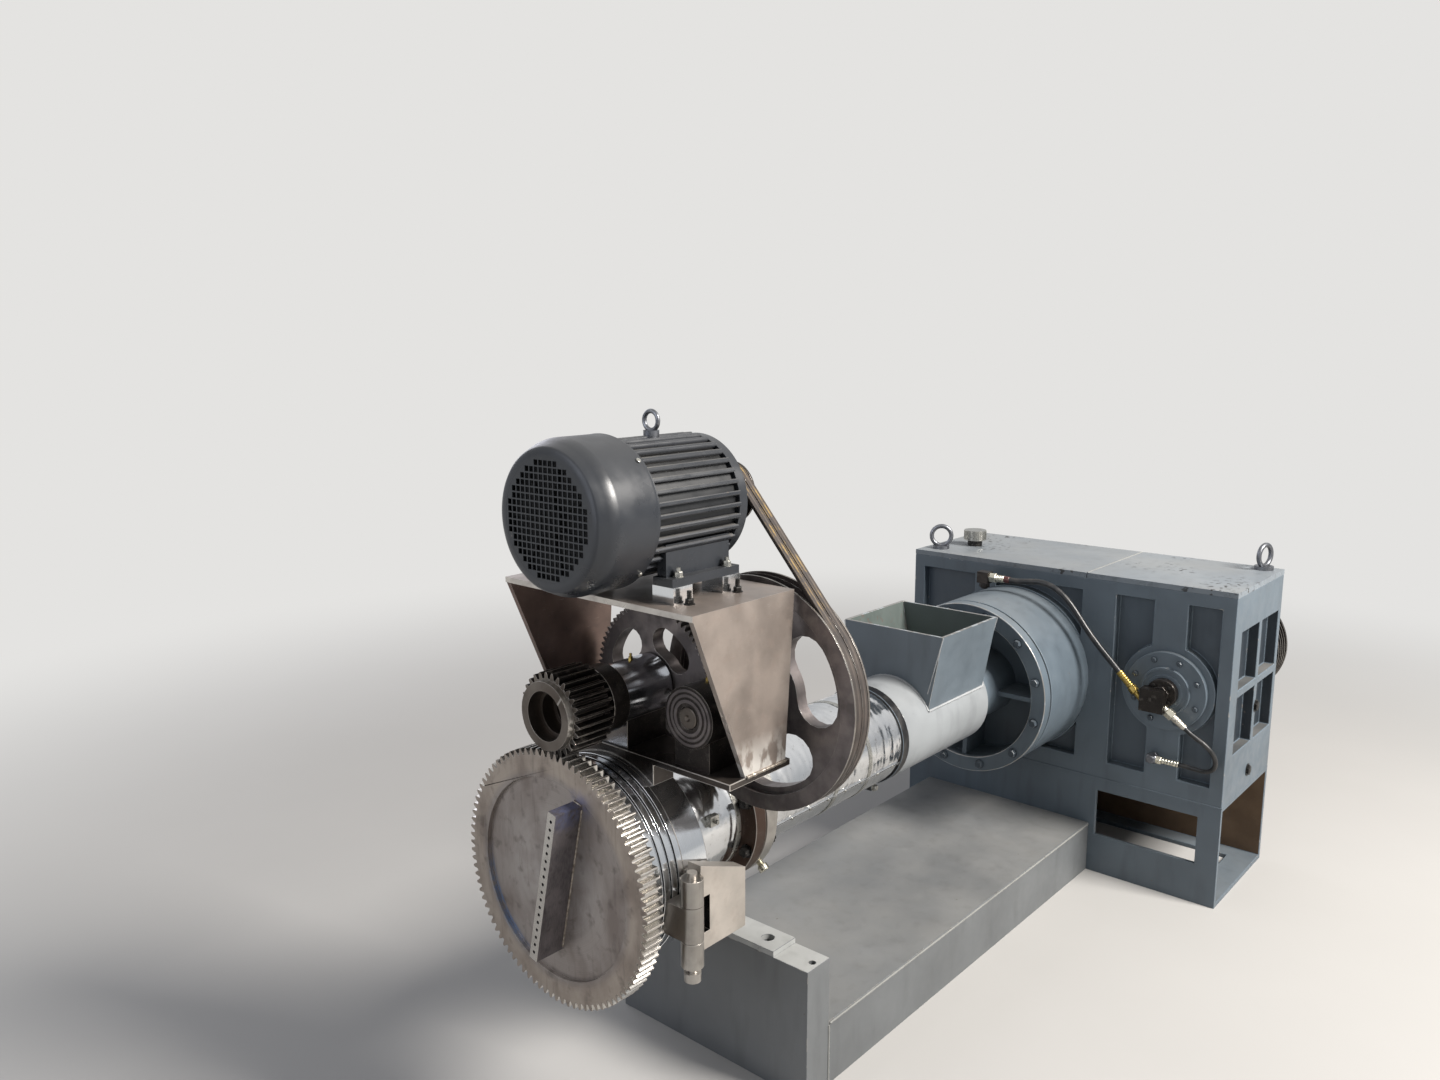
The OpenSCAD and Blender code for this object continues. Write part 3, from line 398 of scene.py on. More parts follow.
def braided_steel():
    """Ferrule crimped over a wire-braided hose end: crossed bright wires with dark gaps."""
    look = Look("braided_wire_ferrule")
    one = look.patches(1.6, 0.4, 0.6, stretch=(1, 3, 1), detail=0.0)
    other = look.patches(1.6, 0.4, 0.6, stretch=(1, 1, 3), detail=0.0)
    wires = look.both(one, other)
    colour = look.layered("#cfcabd", (wires, "#6a655c"))
    return look.shaded(Base_Color=colour, Metallic=0.9, Roughness=0.34, Normal=look.relief(wires, -0.3))


BACKDROP = "#e4e3e1"


def studio_floor():
    """Matt studio floor, very pale, with a faint unevenness of the roller, that fades into the backdrop."""
    look = Look("matt_studio_floor")
    roller = look.patches(700, 0.3, 0.7)
    near = add(look.tree, "ShaderNodeBsdfDiffuse", {
        "Color": look.layered("#b3b2b0", (roller, "#b6b5b3"))})
    far = add(look.tree, "ShaderNodeEmission", {"Color": srgb(BACKDROP), "Strength": 1.0})
    away = add(look.tree, "ShaderNodeVectorMath", {0: look.place}, operation="LENGTH")
    fade = add(look.tree, "ShaderNodeMapRange", {"Value": away, "From Min": 1.5, "From Max": 4.6},
               interpolation_type="SMOOTHSTEP")
    surface = add(look.tree, "ShaderNodeMixShader", {0: fade, 1: near, 2: far})
    add(look.tree, "ShaderNodeOutputMaterial", {"Surface": surface})
    return look.made


BODY_PAINT = "#59646d"
BASE_PAINT = "#66696b"
MOTOR_PAINT = "#282b30"
MAT = {
    "body_paint": enamel("sprayed_enamel_blue_grey", BODY_PAINT),
    # Pocket and recess paints are darker copies of the body paint: painted shade.
    "pocket_shade_paint": enamel("painted_shade_in_pocket", "#2a3138", dust=0.3),
    "base_paint": enamel("sprayed_enamel_base", BASE_PAINT, dust=0.3, chips=0.74, gloss=0.46),
    # The foot paint also lightens the base's up-facing tops: painted light from above.
    "foot_and_top_light_paint": enamel("enamel_on_foot_and_painted_top_light", "#a3a5a4", dust=0.2, chips=0.6, gloss=0.34),
    # The lid paint is a lighter copy of the body paint: painted light from above, with an oily gloss.
    "lid_paint": enamel("oily_enamel_lit_copy_on_lid", "#737b82", dust=0.34, chips=0.58, gloss=0.3, primer="#3a3a3a"),
    # Painted shade on the floors of the front recesses.
    "recess_shade_paint": enamel("painted_shade_in_recess", "#47515a", dust=0.2, chips=0.76),
    "base_edge": worn_edge("rubbed_base_edge", BASE_PAINT, bare=0.56),
    "feed_paint": enamel("sprayed_aluminium_enamel", "#8f9396", dust=0.1, chips=0.74, gloss=0.36),
    # The bolt paint is a darker copy of the body paint: painted shade on the bolts.
    "bolt_shade_paint": enamel("shaded_enamel_copy_on_bolts", "#3f4850", dust=0.1, chips=0.68, gloss=0.36),
    "box_inside": enamel("scoured_enamel_in_box", "#59625f", dust=0.2, chips=0.6, gloss=0.5),
    "feed_weld": enamel("painted_feed_weld", "#a2a5a7", dust=0.1),
    "box_paint": enamel("sprayed_enamel_on_sheet", "#626c74", dust=0.1, gloss=0.38),
    "motor_paint": enamel("sprayed_enamel_motor", MOTOR_PAINT, dust=0.08, chips=0.8, gloss=0.33),
    "edge": worn_edge("rubbed_enamel_edge", BODY_PAINT, bare=0.64),
    "bright_edge": worn_edge("rubbed_sheet_edge", "#8b9094", bare=0.42),
    "motor_edge": worn_edge("rubbed_motor_edge", "#43474d", bare=0.66),
    # Heavy dust on the fins' upward faces: dust and a painted highlight on their tops.
    "fin_paint": enamel("dusty_enamel_and_highlight_on_fins", "#3b3d41", dust=0.5, chips=0.7, gloss=0.32),
    # Near black between the fins: painted shade.
    "fin_gap_shade": enamel("painted_shade_between_fins", "#17191c", dust=0.15),
    "grille_paint": enamel("sprayed_enamel_on_grille", "#26292d", dust=0.1, chips=0.7),
    "plate": rolled_plate("rolled_plate_brown", "#9c9189", stain="#6b5a4f", rough=0.4, ground=SADDLE_HIGH.z),
    "left_leg": rolled_plate("darker_plate_leg", "#7d6a62", stain="#3f322c", oil=0.6, rough=0.32),
    "oily_plate": rolled_plate("oil_soaked_saddle", "#4a4440", stain="#2c2622", oil=0.85, rough=0.34),
    "cut_edge": rolled_plate("flame_cut_edge", "#bdb8b1", stain="#7a6f66", oil=0.12, rough=0.32),
    "cut_leaf": rolled_plate("flame_cut_hinge_plate", "#b7b0a8", stain="#7d7066", oil=0.3, rough=0.36),
    "bar": rolled_plate("sawn_bar_steel", "#8b8681", stain="#665d56", oil=0.15, rough=0.36),
    "flange": rolled_plate("heat_browned_flange", "#3f2f26", stain="#2e211a", oil=0.4, rough=0.46),
    "rusty": rolled_plate("rusty_unpainted_plate", "#6c5a49", stain="#4d3a2a", oil=0.1, rough=0.7),
    "gear_face": gear_face(),
    "welded_bar": welded_bar(),
    "tooth": turned_steel("hobbed_tooth_steel", "#c9c6c1", pitch=0.9, rough=0.22, oil=0.22),
    "hub": turned_steel("turned_hub_steel", "#b9b5af", facing=False, oil=0.35),
    "bore": turned_steel("bored_hub_inside", "#6f6963", pitch=1.4, rough=0.36, oil=0.6, facing=False),
    "bright_ring": turned_steel("turned_bright_ring", "#dcdfe2", pitch=1.1, rough=0.12, oil=0.06, facing=False),
    # Near black in the thread's grooves; painted shade in the ring's bore and on the hinge slot's walls.
    "groove": oiled_steel("near_black_groove_and_shade", "#191a1c", sheen=0.15),
    "bearing": turned_steel("turned_bearing_tube", "#c3c6cc", pitch=1.3, rough=0.13, oil=0.16, facing=False),
    "oily": oiled_steel("oiled_gear_steel", "#383533", sheen=0.7),
    # Lighter edges: rubbed steel, and a painted highlight on teeth and rounded edges.
    "tip": oiled_steel("rubbed_tip_and_painted_highlight", "#8f8a84", rough=0.24, sheen=0.8),
    "oily_plain": oiled_steel("oiled_cast_iron", "#3a3634", rough=0.34, sheen=0.3),
    "wheel": oiled_steel("dusty_cast_wheel", "#6c6665", rough=0.38, sheen=0.35),
    "wheel_edge": worn_edge("rubbed_wheel_edge", "#6e655f", bare=0.46),
    "cover": polished_sheet("bright_rolled_stainless"),
    "rubber": moulded_rubber("wrapped_hose_rubber"),
    "band_rubber": moulded_rubber("clamp_band_rubber", "#121214"),
    "red_sleeve": moulded_rubber("hose_end_sleeve", "#4a1f1c"),
    "belt": belt_cloth(),
    "zinc": plated("zinc_plated_screw", "#b4b3ad"),
    "black_bolt": plated("blackened_bolt", "#3a3938", rough=0.36),
    "brass": plated("brass_plated_ferrule", "#b39a55"),
    "nickel": plated("nickel_plated_nut", "#cfcbbb", rough=0.2),
    "eye_steel": plated("forged_lifting_eye", "#7d7f84", rough=0.3),
    "weld": weld_metal("brushed_weld_bead"),
    "painted_weld": enamel("painted_weld_bead", BODY_PAINT, dust=0.1),
    "base_weld": enamel("painted_base_weld", "#8a8b88", dust=0.1),
    "hollow": dark_hollow(),
    "braid": braided_steel(),
}


# Shapes

def settled(piece):
    """Turns a piece's modifiers into its plain mesh."""
    depsgraph = bpy.context.evaluated_depsgraph_get()
    mesh = bpy.data.meshes.new_from_object(piece.evaluated_get(depsgraph), depsgraph=depsgraph)
    piece.modifiers.clear()
    piece.data = mesh
    return piece


def new_piece(name, mesh, materials):
    """An object with that mesh and those materials."""
    for made in materials:
        mesh.materials.append(MAT[made])
    piece = bpy.data.objects.new(name, mesh)
    bpy.context.scene.collection.objects.link(piece)
    return piece


def rounded(piece, width, segments=2, angle=32, edge_slot=-1):
    """Rounds a piece's edges. The rounded faces take the material of edge_slot."""
    mesh = piece.data
    mesh.polygons.foreach_set("use_smooth", [True] * len(mesh.polygons))
    if width:
        bevel = piece.modifiers.new("rounding", "BEVEL")
        bevel.width = width * MM
        bevel.segments = segments
        bevel.limit_method = "ANGLE"
        bevel.angle_limit = math.radians(angle)
        bevel.material = edge_slot
        settled(piece)
        mesh = piece.data
    mesh.set_sharp_from_angle(angle=math.radians(angle + 6))
    weighted = piece.modifiers.new("even_shading", "WEIGHTED_NORMAL")
    weighted.keep_sharp = True
    return settled(piece)


class Shape:
    """Closed forms in millimetres that become one piece."""

    def __init__(self):
        self.points = []
        self.faces = []
        self.slots = []

    def take(self, points, faces, slot):
        """Adds points, and faces that count from the first of them."""
        first = len(self.points)
        self.points += points
        self.faces += [[first + i for i in face] for face in faces]
        self.slots += [slot] * len(faces)

    def turn(self, profile, origin, way, sides=96, slot=0):
        """Turns a closed profile of (distance, radius) about the line from origin along way."""
        way = Vector(way).normalized()
        side = way.orthogonal().normalized()
        up = way.cross(side)
        angles = [2 * math.pi * k / sides for k in range(sides)]
        points = [Vector(origin) + way * d + (side * math.cos(a) + up * math.sin(a)) * r
                  for d, r in profile for a in angles]
        faces = []
        for i in range(len(profile)):
            j = (i + 1) % len(profile)
            if profile[i][1] == 0 and profile[j][1] == 0:
                continue
            for k in range(sides):
                n = (k + 1) % sides
                faces.append([i * sides + k, i * sides + n, j * sides + n, j * sides + k])
        self.take(points, faces, slot)

    def rod(self, begin, end, radius, origin, way, sides=32, slot=0, chamfer=0.0, tip=None):
        """A round or many-sided rod between two distances from origin along way."""
        top = radius if tip is None else tip
        self.turn([(begin, 0), (begin, radius - chamfer), (begin + chamfer, radius),
                   (end - chamfer, top), (end, top - chamfer), (end, 0)], origin, way, sides, slot)

    def block(self, low, high, slot=0, centre=(0, 0, 0), axes=(X, Y, Z)):
        """A box from one corner to the opposite one, measured from a centre along three axes."""
        corners = [Vector(centre) + axes[0] * a + axes[1] * b + axes[2] * c
                   for a in (low[0], high[0]) for b in (low[1], high[1]) for c in (low[2], high[2])]
        sides = [[0, 1, 3, 2], [4, 6, 7, 5], [0, 4, 5, 1], [2, 3, 7, 6], [0, 2, 6, 4], [1, 5, 7, 3]]
        self.take(corners, sides, slot)

    def sweep(self, path, radius, sides=20, slot=0):
        """A round tube along a path. The radius is a number, or one for each point."""
        count = len(path)
        radii = radius if isinstance(radius, list) else [radius] * count
        points = []
        side = None
        for i, point in enumerate(path):
            way = (path[min(i + 1, count - 1)] - path[max(i - 1, 0)]).normalized()
            side = way.orthogonal() if side is None else side - way * side.dot(way)
            side.normalize()
            up = way.cross(side)
            points += [point + (side * math.cos(a) + up * math.sin(a)) * radii[i]
                       for a in (2 * math.pi * k / sides for k in range(sides))]
        faces = [[i * sides + k, i * sides + (k + 1) % sides,
                  (i + 1) * sides + (k + 1) % sides, (i + 1) * sides + k]
                 for i in range(count - 1) for k in range(sides)]
        faces += [list(range(sides - 1, -1, -1)), [(count - 1) * sides + k for k in range(sides)]]
        self.take(points, faces, slot)

    def make(self, name, *materials, bevel=0.0, segments=2, angle=32):
        """The piece of these forms, with faces outwards and edges rounded."""
        form = bmesh.new()
        corners = [form.verts.new(Vector(p) * MM) for p in self.points]
        for face, slot in zip(self.faces, self.slots):
            form.faces.new([corners[i] for i in face]).material_index = slot
        bmesh.ops.remove_doubles(form, verts=form.verts, dist=1e-7)
        bmesh.ops.dissolve_degenerate(form, edges=form.edges, dist=1e-7)
        bmesh.ops.recalc_face_normals(form, faces=form.faces)
        mesh = bpy.data.meshes.new(name)
        form.to_mesh(mesh)
        form.free()
        return rounded(new_piece(name, mesh, materials), bevel, segments, angle)


def spoke(turn):
    """The way out from an axis along X and the way round it, at a turn in degrees."""
    angle = math.radians(turn)
    return Vector((0, math.cos(angle), math.sin(angle))), Vector((0, -math.sin(angle), math.cos(angle)))


def ring_faces(rings, sides):
    """The faces of a closed tube of rings, whose last ring meets its first."""
    return [[i * sides + k, i * sides + (k + 1) % sides, (i + 1) % rings * sides + (k + 1) % sides,
             (i + 1) % rings * sides + k] for i in range(rings) for k in range(sides)]


def smooth_path(points, steps=6):
    """A smooth line through the points, as Vectors."""
    points = [Vector(p) for p in points]
    path = []
    for i in range(len(points) - 1):
        a, b = points[max(i - 1, 0)], points[i]
        c, d = points[i + 1], points[min(i + 2, len(points) - 1)]
        for k in range(steps):
            t = k / steps
            path.append(0.5 * (2 * b + (c - a) * t + (2 * a - 5 * b + 4 * c - d) * t ** 2
                               + (3 * b - a - 3 * c + d) * t ** 3))
    return path + [points[-1]]


def finished(piece, body="machine"):
    """Puts a piece on its body."""
    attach(piece, body)
    return piece


def stands_for(piece, node):
    """Hides the CAD node that a piece stands for. The piece takes over its body."""
    finished(piece, BODY[node])
    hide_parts(node)
    return piece


def punched(piece, cutter):
    """Cuts the forms of a cutter out of a piece. The walls take the cutter's material slots."""
    cut = piece.modifiers.new("punched", "BOOLEAN")
    cut.object = cutter
    cut.solver = "EXACT"
    settled(piece)
    bpy.data.objects.remove(cutter)


def dressed(node, materials, bevel, choose=None, segments=2, angle=32, cutter=None):
    """A copy of a CAD node with rounded edges. The second material is the edges', choose picks others."""
    mesh = NODES[node].data.copy()
    mesh.materials.clear()
    form = bmesh.new()
    form.from_mesh(mesh)
    bmesh.ops.remove_doubles(form, verts=form.verts, dist=1e-6)
    bmesh.ops.dissolve_limit(form, angle_limit=math.radians(0.8), verts=form.verts, edges=form.edges)
    for face in form.faces:
        face.material_index = choose(face.calc_center_median() / MM, face.normal) if choose else 0
    form.to_mesh(mesh)
    form.free()
    for key in [a.name for a in mesh.attributes if a.name.startswith("custom_normal")]:
        mesh.attributes.remove(mesh.attributes[key])
    piece = new_piece(node + "_finished", mesh, materials)
    if cutter:
        punched(piece, cutter)
    rounded(piece, bevel, segments, angle, edge_slot=1 if len(materials) > 1 else -1)
    return stands_for(piece, node)


def off_axis(centre, y=0.0, z=AXIS):
    """How far a place is from an axis along X."""
    return math.hypot(centre.y - y, centre.z - z)


# What repeats, with Geometry Nodes

def new_tree(name, given, **sockets):
    """A Geometry Nodes tree with its named inputs, and their sockets inside it."""
    tree = bpy.data.node_groups.new(name, "GeometryNodeTree")
    for key, kind in {given: "Geometry", **sockets, "Material": "Material"}.items():
        tree.interface.new_socket(key, in_out="INPUT", socket_type="NodeSocket" + kind)
    tree.interface.new_socket("Pieces", in_out="OUTPUT", socket_type="NodeSocketGeometry")
    return tree, add(tree, "NodeGroupInput").node.outputs


def evaluated(carrier, tree, given, form, material, values):
    """Ends a tree with its form made real and coloured, runs it on its carrier and keeps the plain mesh."""
    real = add(tree, "GeometryNodeRealizeInstances", {"Geometry": form})
    coloured = add(tree, "GeometryNodeSetMaterial", {"Geometry": real, "Material": given["Material"]})
    add(tree, "NodeGroupOutput", {0: coloured})
    modifier = carrier.modifiers.new("repeat", "NODES")
    modifier.node_group = tree
    values = {**values, "Material": MAT[material]}
    for socket in tree.interface.items_tree:
        if socket.in_out == "INPUT" and socket.name in values:
            modifier[socket.identifier] = values[socket.name]
    return settled(carrier)


def repeated(name, places, item, material, slot=None, body="machine", **sizes):
    """Puts one item on every place: its Z axis points along the place's way, its X axis along its lie.

    A cutter has no slot, because it rides on nothing.
    """
    mesh = bpy.data.meshes.new(name)
    mesh.from_pydata([Vector(place[0]) * MM for place in places], [], [])
    for key, index in (("way", 1), ("lie", 2)):
        store = mesh.attributes.new(key, "FLOAT_VECTOR", "POINT")
        for i, place in enumerate(places):
            store.data[i].vector = place[index]
    carrier = new_piece(name, mesh, [])
    tree, given = new_tree(name, "Places", **{key: "Float" for key in sizes})
    way, lie = (add(tree, "GeometryNodeInputNamedAttribute", {"Name": key}, data_type="FLOAT_VECTOR")
                for key in ("way", "lie"))
    upright = add(tree, "FunctionNodeAlignRotationToVector", {"Vector": way}, axis="Z")
    turned = add(tree, "FunctionNodeAlignRotationToVector", {"Rotation": upright, "Vector": lie}, axis="X",
                 pivot_axis="Z")
    put = add(tree, "GeometryNodeInstanceOnPoints",
              {"Points": given["Places"], "Instance": item(tree, given), "Rotation": turned})
    values = {key: value * MM for key, value in sizes.items()}
    piece = evaluated(carrier, tree, given, put, material, values)
    return finished(piece, body) if slot else piece


def drum_of(tree, sides, radius, height, lift, top=None):
    """A closed many-sided drum, with its foot at the height lift. A smaller top makes it a cone."""
    sizes = {"Vertices": sides, "Radius Top": top or radius, "Radius Bottom": radius, "Depth": height}
    form = add(tree, "GeometryNodeMeshCone", sizes)
    raise_by = add(tree, "ShaderNodeCombineXYZ", {"Z": lift})
    return add(tree, "GeometryNodeTransform", {"Geometry": form, "Translation": raise_by})


def joined(tree, forms):
    """Several forms as one."""
    together = add(tree, "GeometryNodeJoinGeometry")
    for form in forms:
        tree.links.new(form, together.node.inputs[0])
    return together


def scaled(tree, value, factor):
    """A size as a share of another."""
    return add(tree, "ShaderNodeMath", {0: value, 1: factor}, operation="MULTIPLY")


def hex_head(tree, given):
    """A hexagon head or nut with a chamfer, on a washer, and the end of its thread."""
    corner = scaled(tree, given["across"], 0.5774)
    height, washer = given["height"], given["washer"]
    above = add(tree, "ShaderNodeMath", {0: washer, 1: scaled(tree, height, 0.82)}, operation="ADD")
    top = add(tree, "ShaderNodeMath", {0: washer, 1: height}, operation="ADD")
    return joined(tree, [
        drum_of(tree, 18, scaled(tree, given["across"], 0.72), washer, 0.0),
        drum_of(tree, 6, corner, scaled(tree, height, 0.82), washer),
        drum_of(tree, 6, corner, scaled(tree, height, 0.18), above, scaled(tree, corner, 0.86)),
        drum_of(tree, 12, scaled(tree, given["across"], 0.31), given["thread"], top),
    ])


def cap_screw(tree, given):
    """A socket cap screw: a round head with a hexagon hole."""
    radius, height = given["radius"], given["height"]
    head = drum_of(tree, 18, radius, height, 0.0)
    rim = drum_of(tree, 18, radius, scaled(tree, height, 0.1), height, scaled(tree, radius, 0.86))
    hole = drum_of(tree, 6, scaled(tree, radius, 0.5), scaled(tree, height, 0.3), scaled(tree, height, 1.03))
    return joined(tree, [head, rim, hole])


def tapered_fin(tree, given):
    """A cooling fin along X, narrower at its top, standing on Z."""
    sizes = {"Height": given["height"], "Bottom Width": given["foot"], "Top Width": given["tip"],
             "Offset": 0.0}
    profile = add(tree, "GeometryNodeCurvePrimitiveQuadrilateral", sizes, mode="TRAPEZOID")
    half = scaled(tree, given["length"], 0.5)
    begin, end = (add(tree, "ShaderNodeCombineXYZ", {"X": x}) for x in (scaled(tree, half, -1.0), half))
    line = add(tree, "GeometryNodeCurvePrimitiveLine", {"Start": begin, "End": end})
    level = add(tree, "GeometryNodeSetCurveTilt", {"Curve": line, "Tilt": 0.0})
    return add(tree, "GeometryNodeCurveToMesh", {"Curve": level, "Profile Curve": profile, "Fill Caps": True})


def hole_box(tree, given):
    """A box that cuts one opening."""
    size = add(tree, "ShaderNodeCombineXYZ", {"X": given["wide"], "Y": given["high"], "Z": given["deep"]})
    return add(tree, "GeometryNodeMeshCube", {"Size": size})


def ring_of(count, radius, x, way, y=0.0, z=AXIS, turn=0.0):
    """Places on a circle about an axis along X."""
    places = []
    for k in range(count):
        out = spoke(turn + 360 * k / count)[0]
        places.append((Vector((x, y, z)) + out * radius, way, out))
    return places


def bolts(name, places, across, body="machine", material="zinc", slot="machined_steel", thread=0.6,
          washer=1.6):
    """Hexagon heads or nuts on their washers. Across is the size over the flats."""
    return repeated(name, places, hex_head, material, slot, body, across=across, height=across * 0.62,
                    washer=washer, thread=thread)


def weld_bead(name, paths, radius, material="weld", body="machine"):
    """Weld beads along lines: a swept bead with the ripples of its puddle and an uneven width."""
    ripple, seed = 2.6, 4
    points, edges = [], []
    for path in paths:
        edges += [(len(points) + i, len(points) + i + 1) for i in range(len(path) - 1)]
        points += [Vector(p) * MM for p in path]
    mesh = bpy.data.meshes.new(name)
    mesh.from_pydata(points, edges, [])
    carrier = new_piece(name, mesh, [])
    tree, given = new_tree(name, "Lines", **{"Bead radius": "Float", "Ripple": "Float", "Seed": "Int"})
    line = add(tree, "GeometryNodeMeshToCurve", {"Mesh": given["Lines"]})
    even = add(tree, "GeometryNodeResampleCurve", {"Curve": line, "Length": given["Ripple"]}, mode="LENGTH")
    wobble = add(tree, "FunctionNodeRandomValue", {2: 0.8, 3: 1.18, "Seed": given["Seed"]}, data_type="FLOAT")
    thick = add(tree, "ShaderNodeMath", {0: wobble, 1: given["Bead radius"]}, operation="MULTIPLY")
    radii = add(tree, "GeometryNodeSetCurveRadius", {"Curve": even, "Radius": thick})
    ring = add(tree, "GeometryNodeCurvePrimitiveCircle", {"Resolution": 8, "Radius": 1.0})
    bead = add(tree, "GeometryNodeCurveToMesh", {"Curve": radii, "Profile Curve": ring, "Fill Caps": True})
    if "Scale" in bead.node.inputs:
        tree.links.new(thick, bead.node.inputs["Scale"])
    values = {"Bead radius": radius * MM, "Ripple": ripple * MM, "Seed": seed}
    piece = evaluated(carrier, tree, given, bead, material, values)
    piece.data.polygons.foreach_set("use_smooth", [True] * len(piece.data.polygons))
    return finished(piece, body)


# Base, stand and gearbox

def base():
    """Low base, deck, pedestal and the barrel's foot, with the welds that join them."""
    lowest_planed_lit_top, foot_thickness, post_half = 250, 12, 50

    def planed_and_lit_top(centre, normal):
        """Faces that look up under the barrel's foot take the light foot paint: planed and thinly painted, with
        painted light from above.
        """
        return 2 if normal.z > 0.9 and centre.z > lowest_planed_lit_top else 0

    for node, width in (("base_frame", 1.6), ("deck_plate", 1.4), ("front_pedestal", 2.2)):
        dressed(node, ["base_paint", "base_edge", "foot_and_top_light_paint"], width, planed_and_lit_top)
    dressed("barrel_support", ["foot_and_top_light_paint", "base_edge"], 1.2)
    deck, front, side = span("deck_plate")[1].z, BASE_LOW.x, BASE_HIGH.y
    lines = [[(front, 4 - side, deck + 1), (front, side - 4, deck + 1)]]
    for y in (-side, side):
        lines.append([(front, y, 4), (front, y, deck - 8)])
        lines.append([(front + 3, y, deck - 5), (BASE_HIGH.x - 3, y, deck - 5)])
    weld_bead("base_welds", lines, 2.4, "base_weld")
    level, rear = span("barrel_support")[0].z + foot_thickness, FLANGE_HIGH.x + 0.5
    across = [(rear, -post_half, level), (rear, post_half, level)]
    weld_bead("support_weld", [across], 2.4, "base_weld")


def stand():
    """Plate stand of the gearbox, painted outside and left rusty inside."""
    low, high = span("gearbox_stand")
    plate = 13

    def inside(centre, normal):
        """Plates that face into the stand were never painted."""
        back = high.x - plate < centre.x < high.x - 1 and normal.x < -0.5
        left = high.y - plate < centre.y < high.y - 1 and normal.y < -0.5
        front = low.x + 1 < centre.x < low.x + plate and normal.x > 0.5
        return 2 if back or left or front else 0

    dressed("gearbox_stand", ["body_paint", "edge", "rusty"], 1.6, inside)
    right, left = low.y + 1, high.y - 1
    rim = [(low.x, right), (high.x, right), (high.x, left), (low.x, left), (low.x, right)]
    seam = [[(*a, high.z), (*b, high.z)] for a, b in zip(rim, rim[1:])]
    weld_bead("stand_welds", seam, 2.0, "painted_weld")


def gearbox():
    """Ribbed case with its two lid plates, lifting eyes, breather and oil plugs."""
    pocket_depth, recess_depth, plug_places = 29, 45, ((688, 500), (663, 326))
    breather = Vector((CASE_LOW.x + 172, CASE_HIGH.y - 104))
    breather_radius, cap_above, knurls = 32.6, 18.5, 36

    def pocket(centre, normal):
        """The deep side pockets, and the floors of the front recesses, are painted darker: painted shade."""
        right = CASE_LOW.y + 2 < centre.y < CASE_LOW.y + pocket_depth
        left = CASE_HIGH.y - pocket_depth < centre.y < CASE_HIGH.y - 2
        if (right or left) and CASE_LOW.x + 50 < centre.x < CASE_HIGH.x - 15:
            return 2
        return 3 if CASE_LOW.x + 2 < centre.x < CASE_LOW.x + recess_depth and normal.x < -0.9 else 0

    def part(centre, normal):
        """The breather's cap and stem, and the eye, by their places."""
        above = centre.z - LID_TOP
        if above < 0.5:
            return 0
        if (centre.xy - breather).length < breather_radius + 3.4:
            return 3 if above > cap_above else 4
        return 2

    dressed("gearbox_case", ["body_paint", "edge", "pocket_shade_paint", "recess_shade_paint"], 2.4, pocket)
    for node in ("gearbox_lid_left", "gearbox_lid_right"):
        dressed(node, ["lid_paint", "edge", "eye_steel", "zinc", "black_bolt"], 1.2, part, angle=40)
    ribs = []
    for k in range(knurls):
        out = Vector((math.cos(2 * math.pi * k / knurls), math.sin(2 * math.pi * k / knurls)))
        ribs.append(((*(breather + out * breather_radius), LID_TOP + 33), Z, out.to_3d()))
    repeated("breather_ribs", ribs, hole_box, "zinc", "blue_grey_paint", wide=2.4, high=2.6, deep=24)
    plugs = [((x, CASE_LOW.y, z), -Y, Z) for x, z in plug_places]
    repeated("oil_plugs", plugs, hex_head, "black_bolt", "dark_gear_steel", across=24, height=6, washer=1.2,
             thread=0.4)
    seam = [(CASE_LOW.x + 4, SEAM_Y, LID_TOP - 1.2), (CASE_HIGH.x - 4, SEAM_Y, LID_TOP - 1.2)]
    weld_bead("lid_seam", [seam], 2.6, "base_weld")


def front_cover():
    """Round cover of the output bearing with its small painted bolts."""
    bolt_circle, rim_step = 86, 8
    dressed("bearing_cover", ["body_paint", "edge"], 1.4)
    seats = ring_of(8, bolt_circle, span("bearing_cover")[0].x + rim_step, -X, COVER.y, COVER.z, 22.5)
    # The bolts' darker paint is painted shade.
    bolts("cover_bolts", seats, 12, material="bolt_shade_paint", washer=1)


def rear_pulley():
    """Cast pulley on the input shaft, with the shaft's end and its key."""
    groove_floor, rim_radius, shaft_radius = 138, 153, 26
    rear, hub = span("input_pulley")[1].x, middle("input_pulley")

    def worn(centre, normal):
        """The grooves' walls are rubbed bright by the belts."""
        return 2 if groove_floor < off_axis(centre, hub.y, hub.z) < rim_radius else 0

    dressed("input_pulley", ["oily_plain", "tip", "hub"], 0.9, worn)
    shaft = Shape()
    shaft.rod(0, rear - CASE_HIGH.x - 4, shaft_radius, (CASE_HIGH.x, hub.y, hub.z), X, 48, chamfer=2)
    shaft.block((rear - 30, hub.y - 5, hub.z + 20), (rear - 5, hub.y + 5, hub.z + 29))
    finished(shaft.make("input_shaft_end", "hub", bevel=0.6))


# Oil fittings and hoses

DRUM_PORT = Vector((400, 61, 810))
UNION_PORT = Vector((412, -410, 530))
VALVE = Vector((440, -425, 378))
UPPER_HOSE = [
    (400, -16, 810), (400, -34, 810), (400, -56, 812), (401, -80, 815), (403, -104, 816), (405, -128, 812),
    (406, -150, 803), (407, -170, 789), (408, -188, 772), (409, -204, 753), (410, -220, 732),
    (411, -237, 709), (412, -256, 686), (412, -279, 661), (412, -300, 640), (412, -322, 618), (412, -336, 604),
]
LOWER_HOSE = [
    (412, -512, 490), (412, -528, 478), (413, -544, 468), (415, -559, 459), (418, -572, 448),
    (422, -582, 435), (426, -588, 420), (430, -589, 405), (434, -584, 391), (437, -573, 381),
    (439, -558, 376), (440, -542, 376), (440, -526, 377), (440, -510, 378), (440, -496, 378),
]


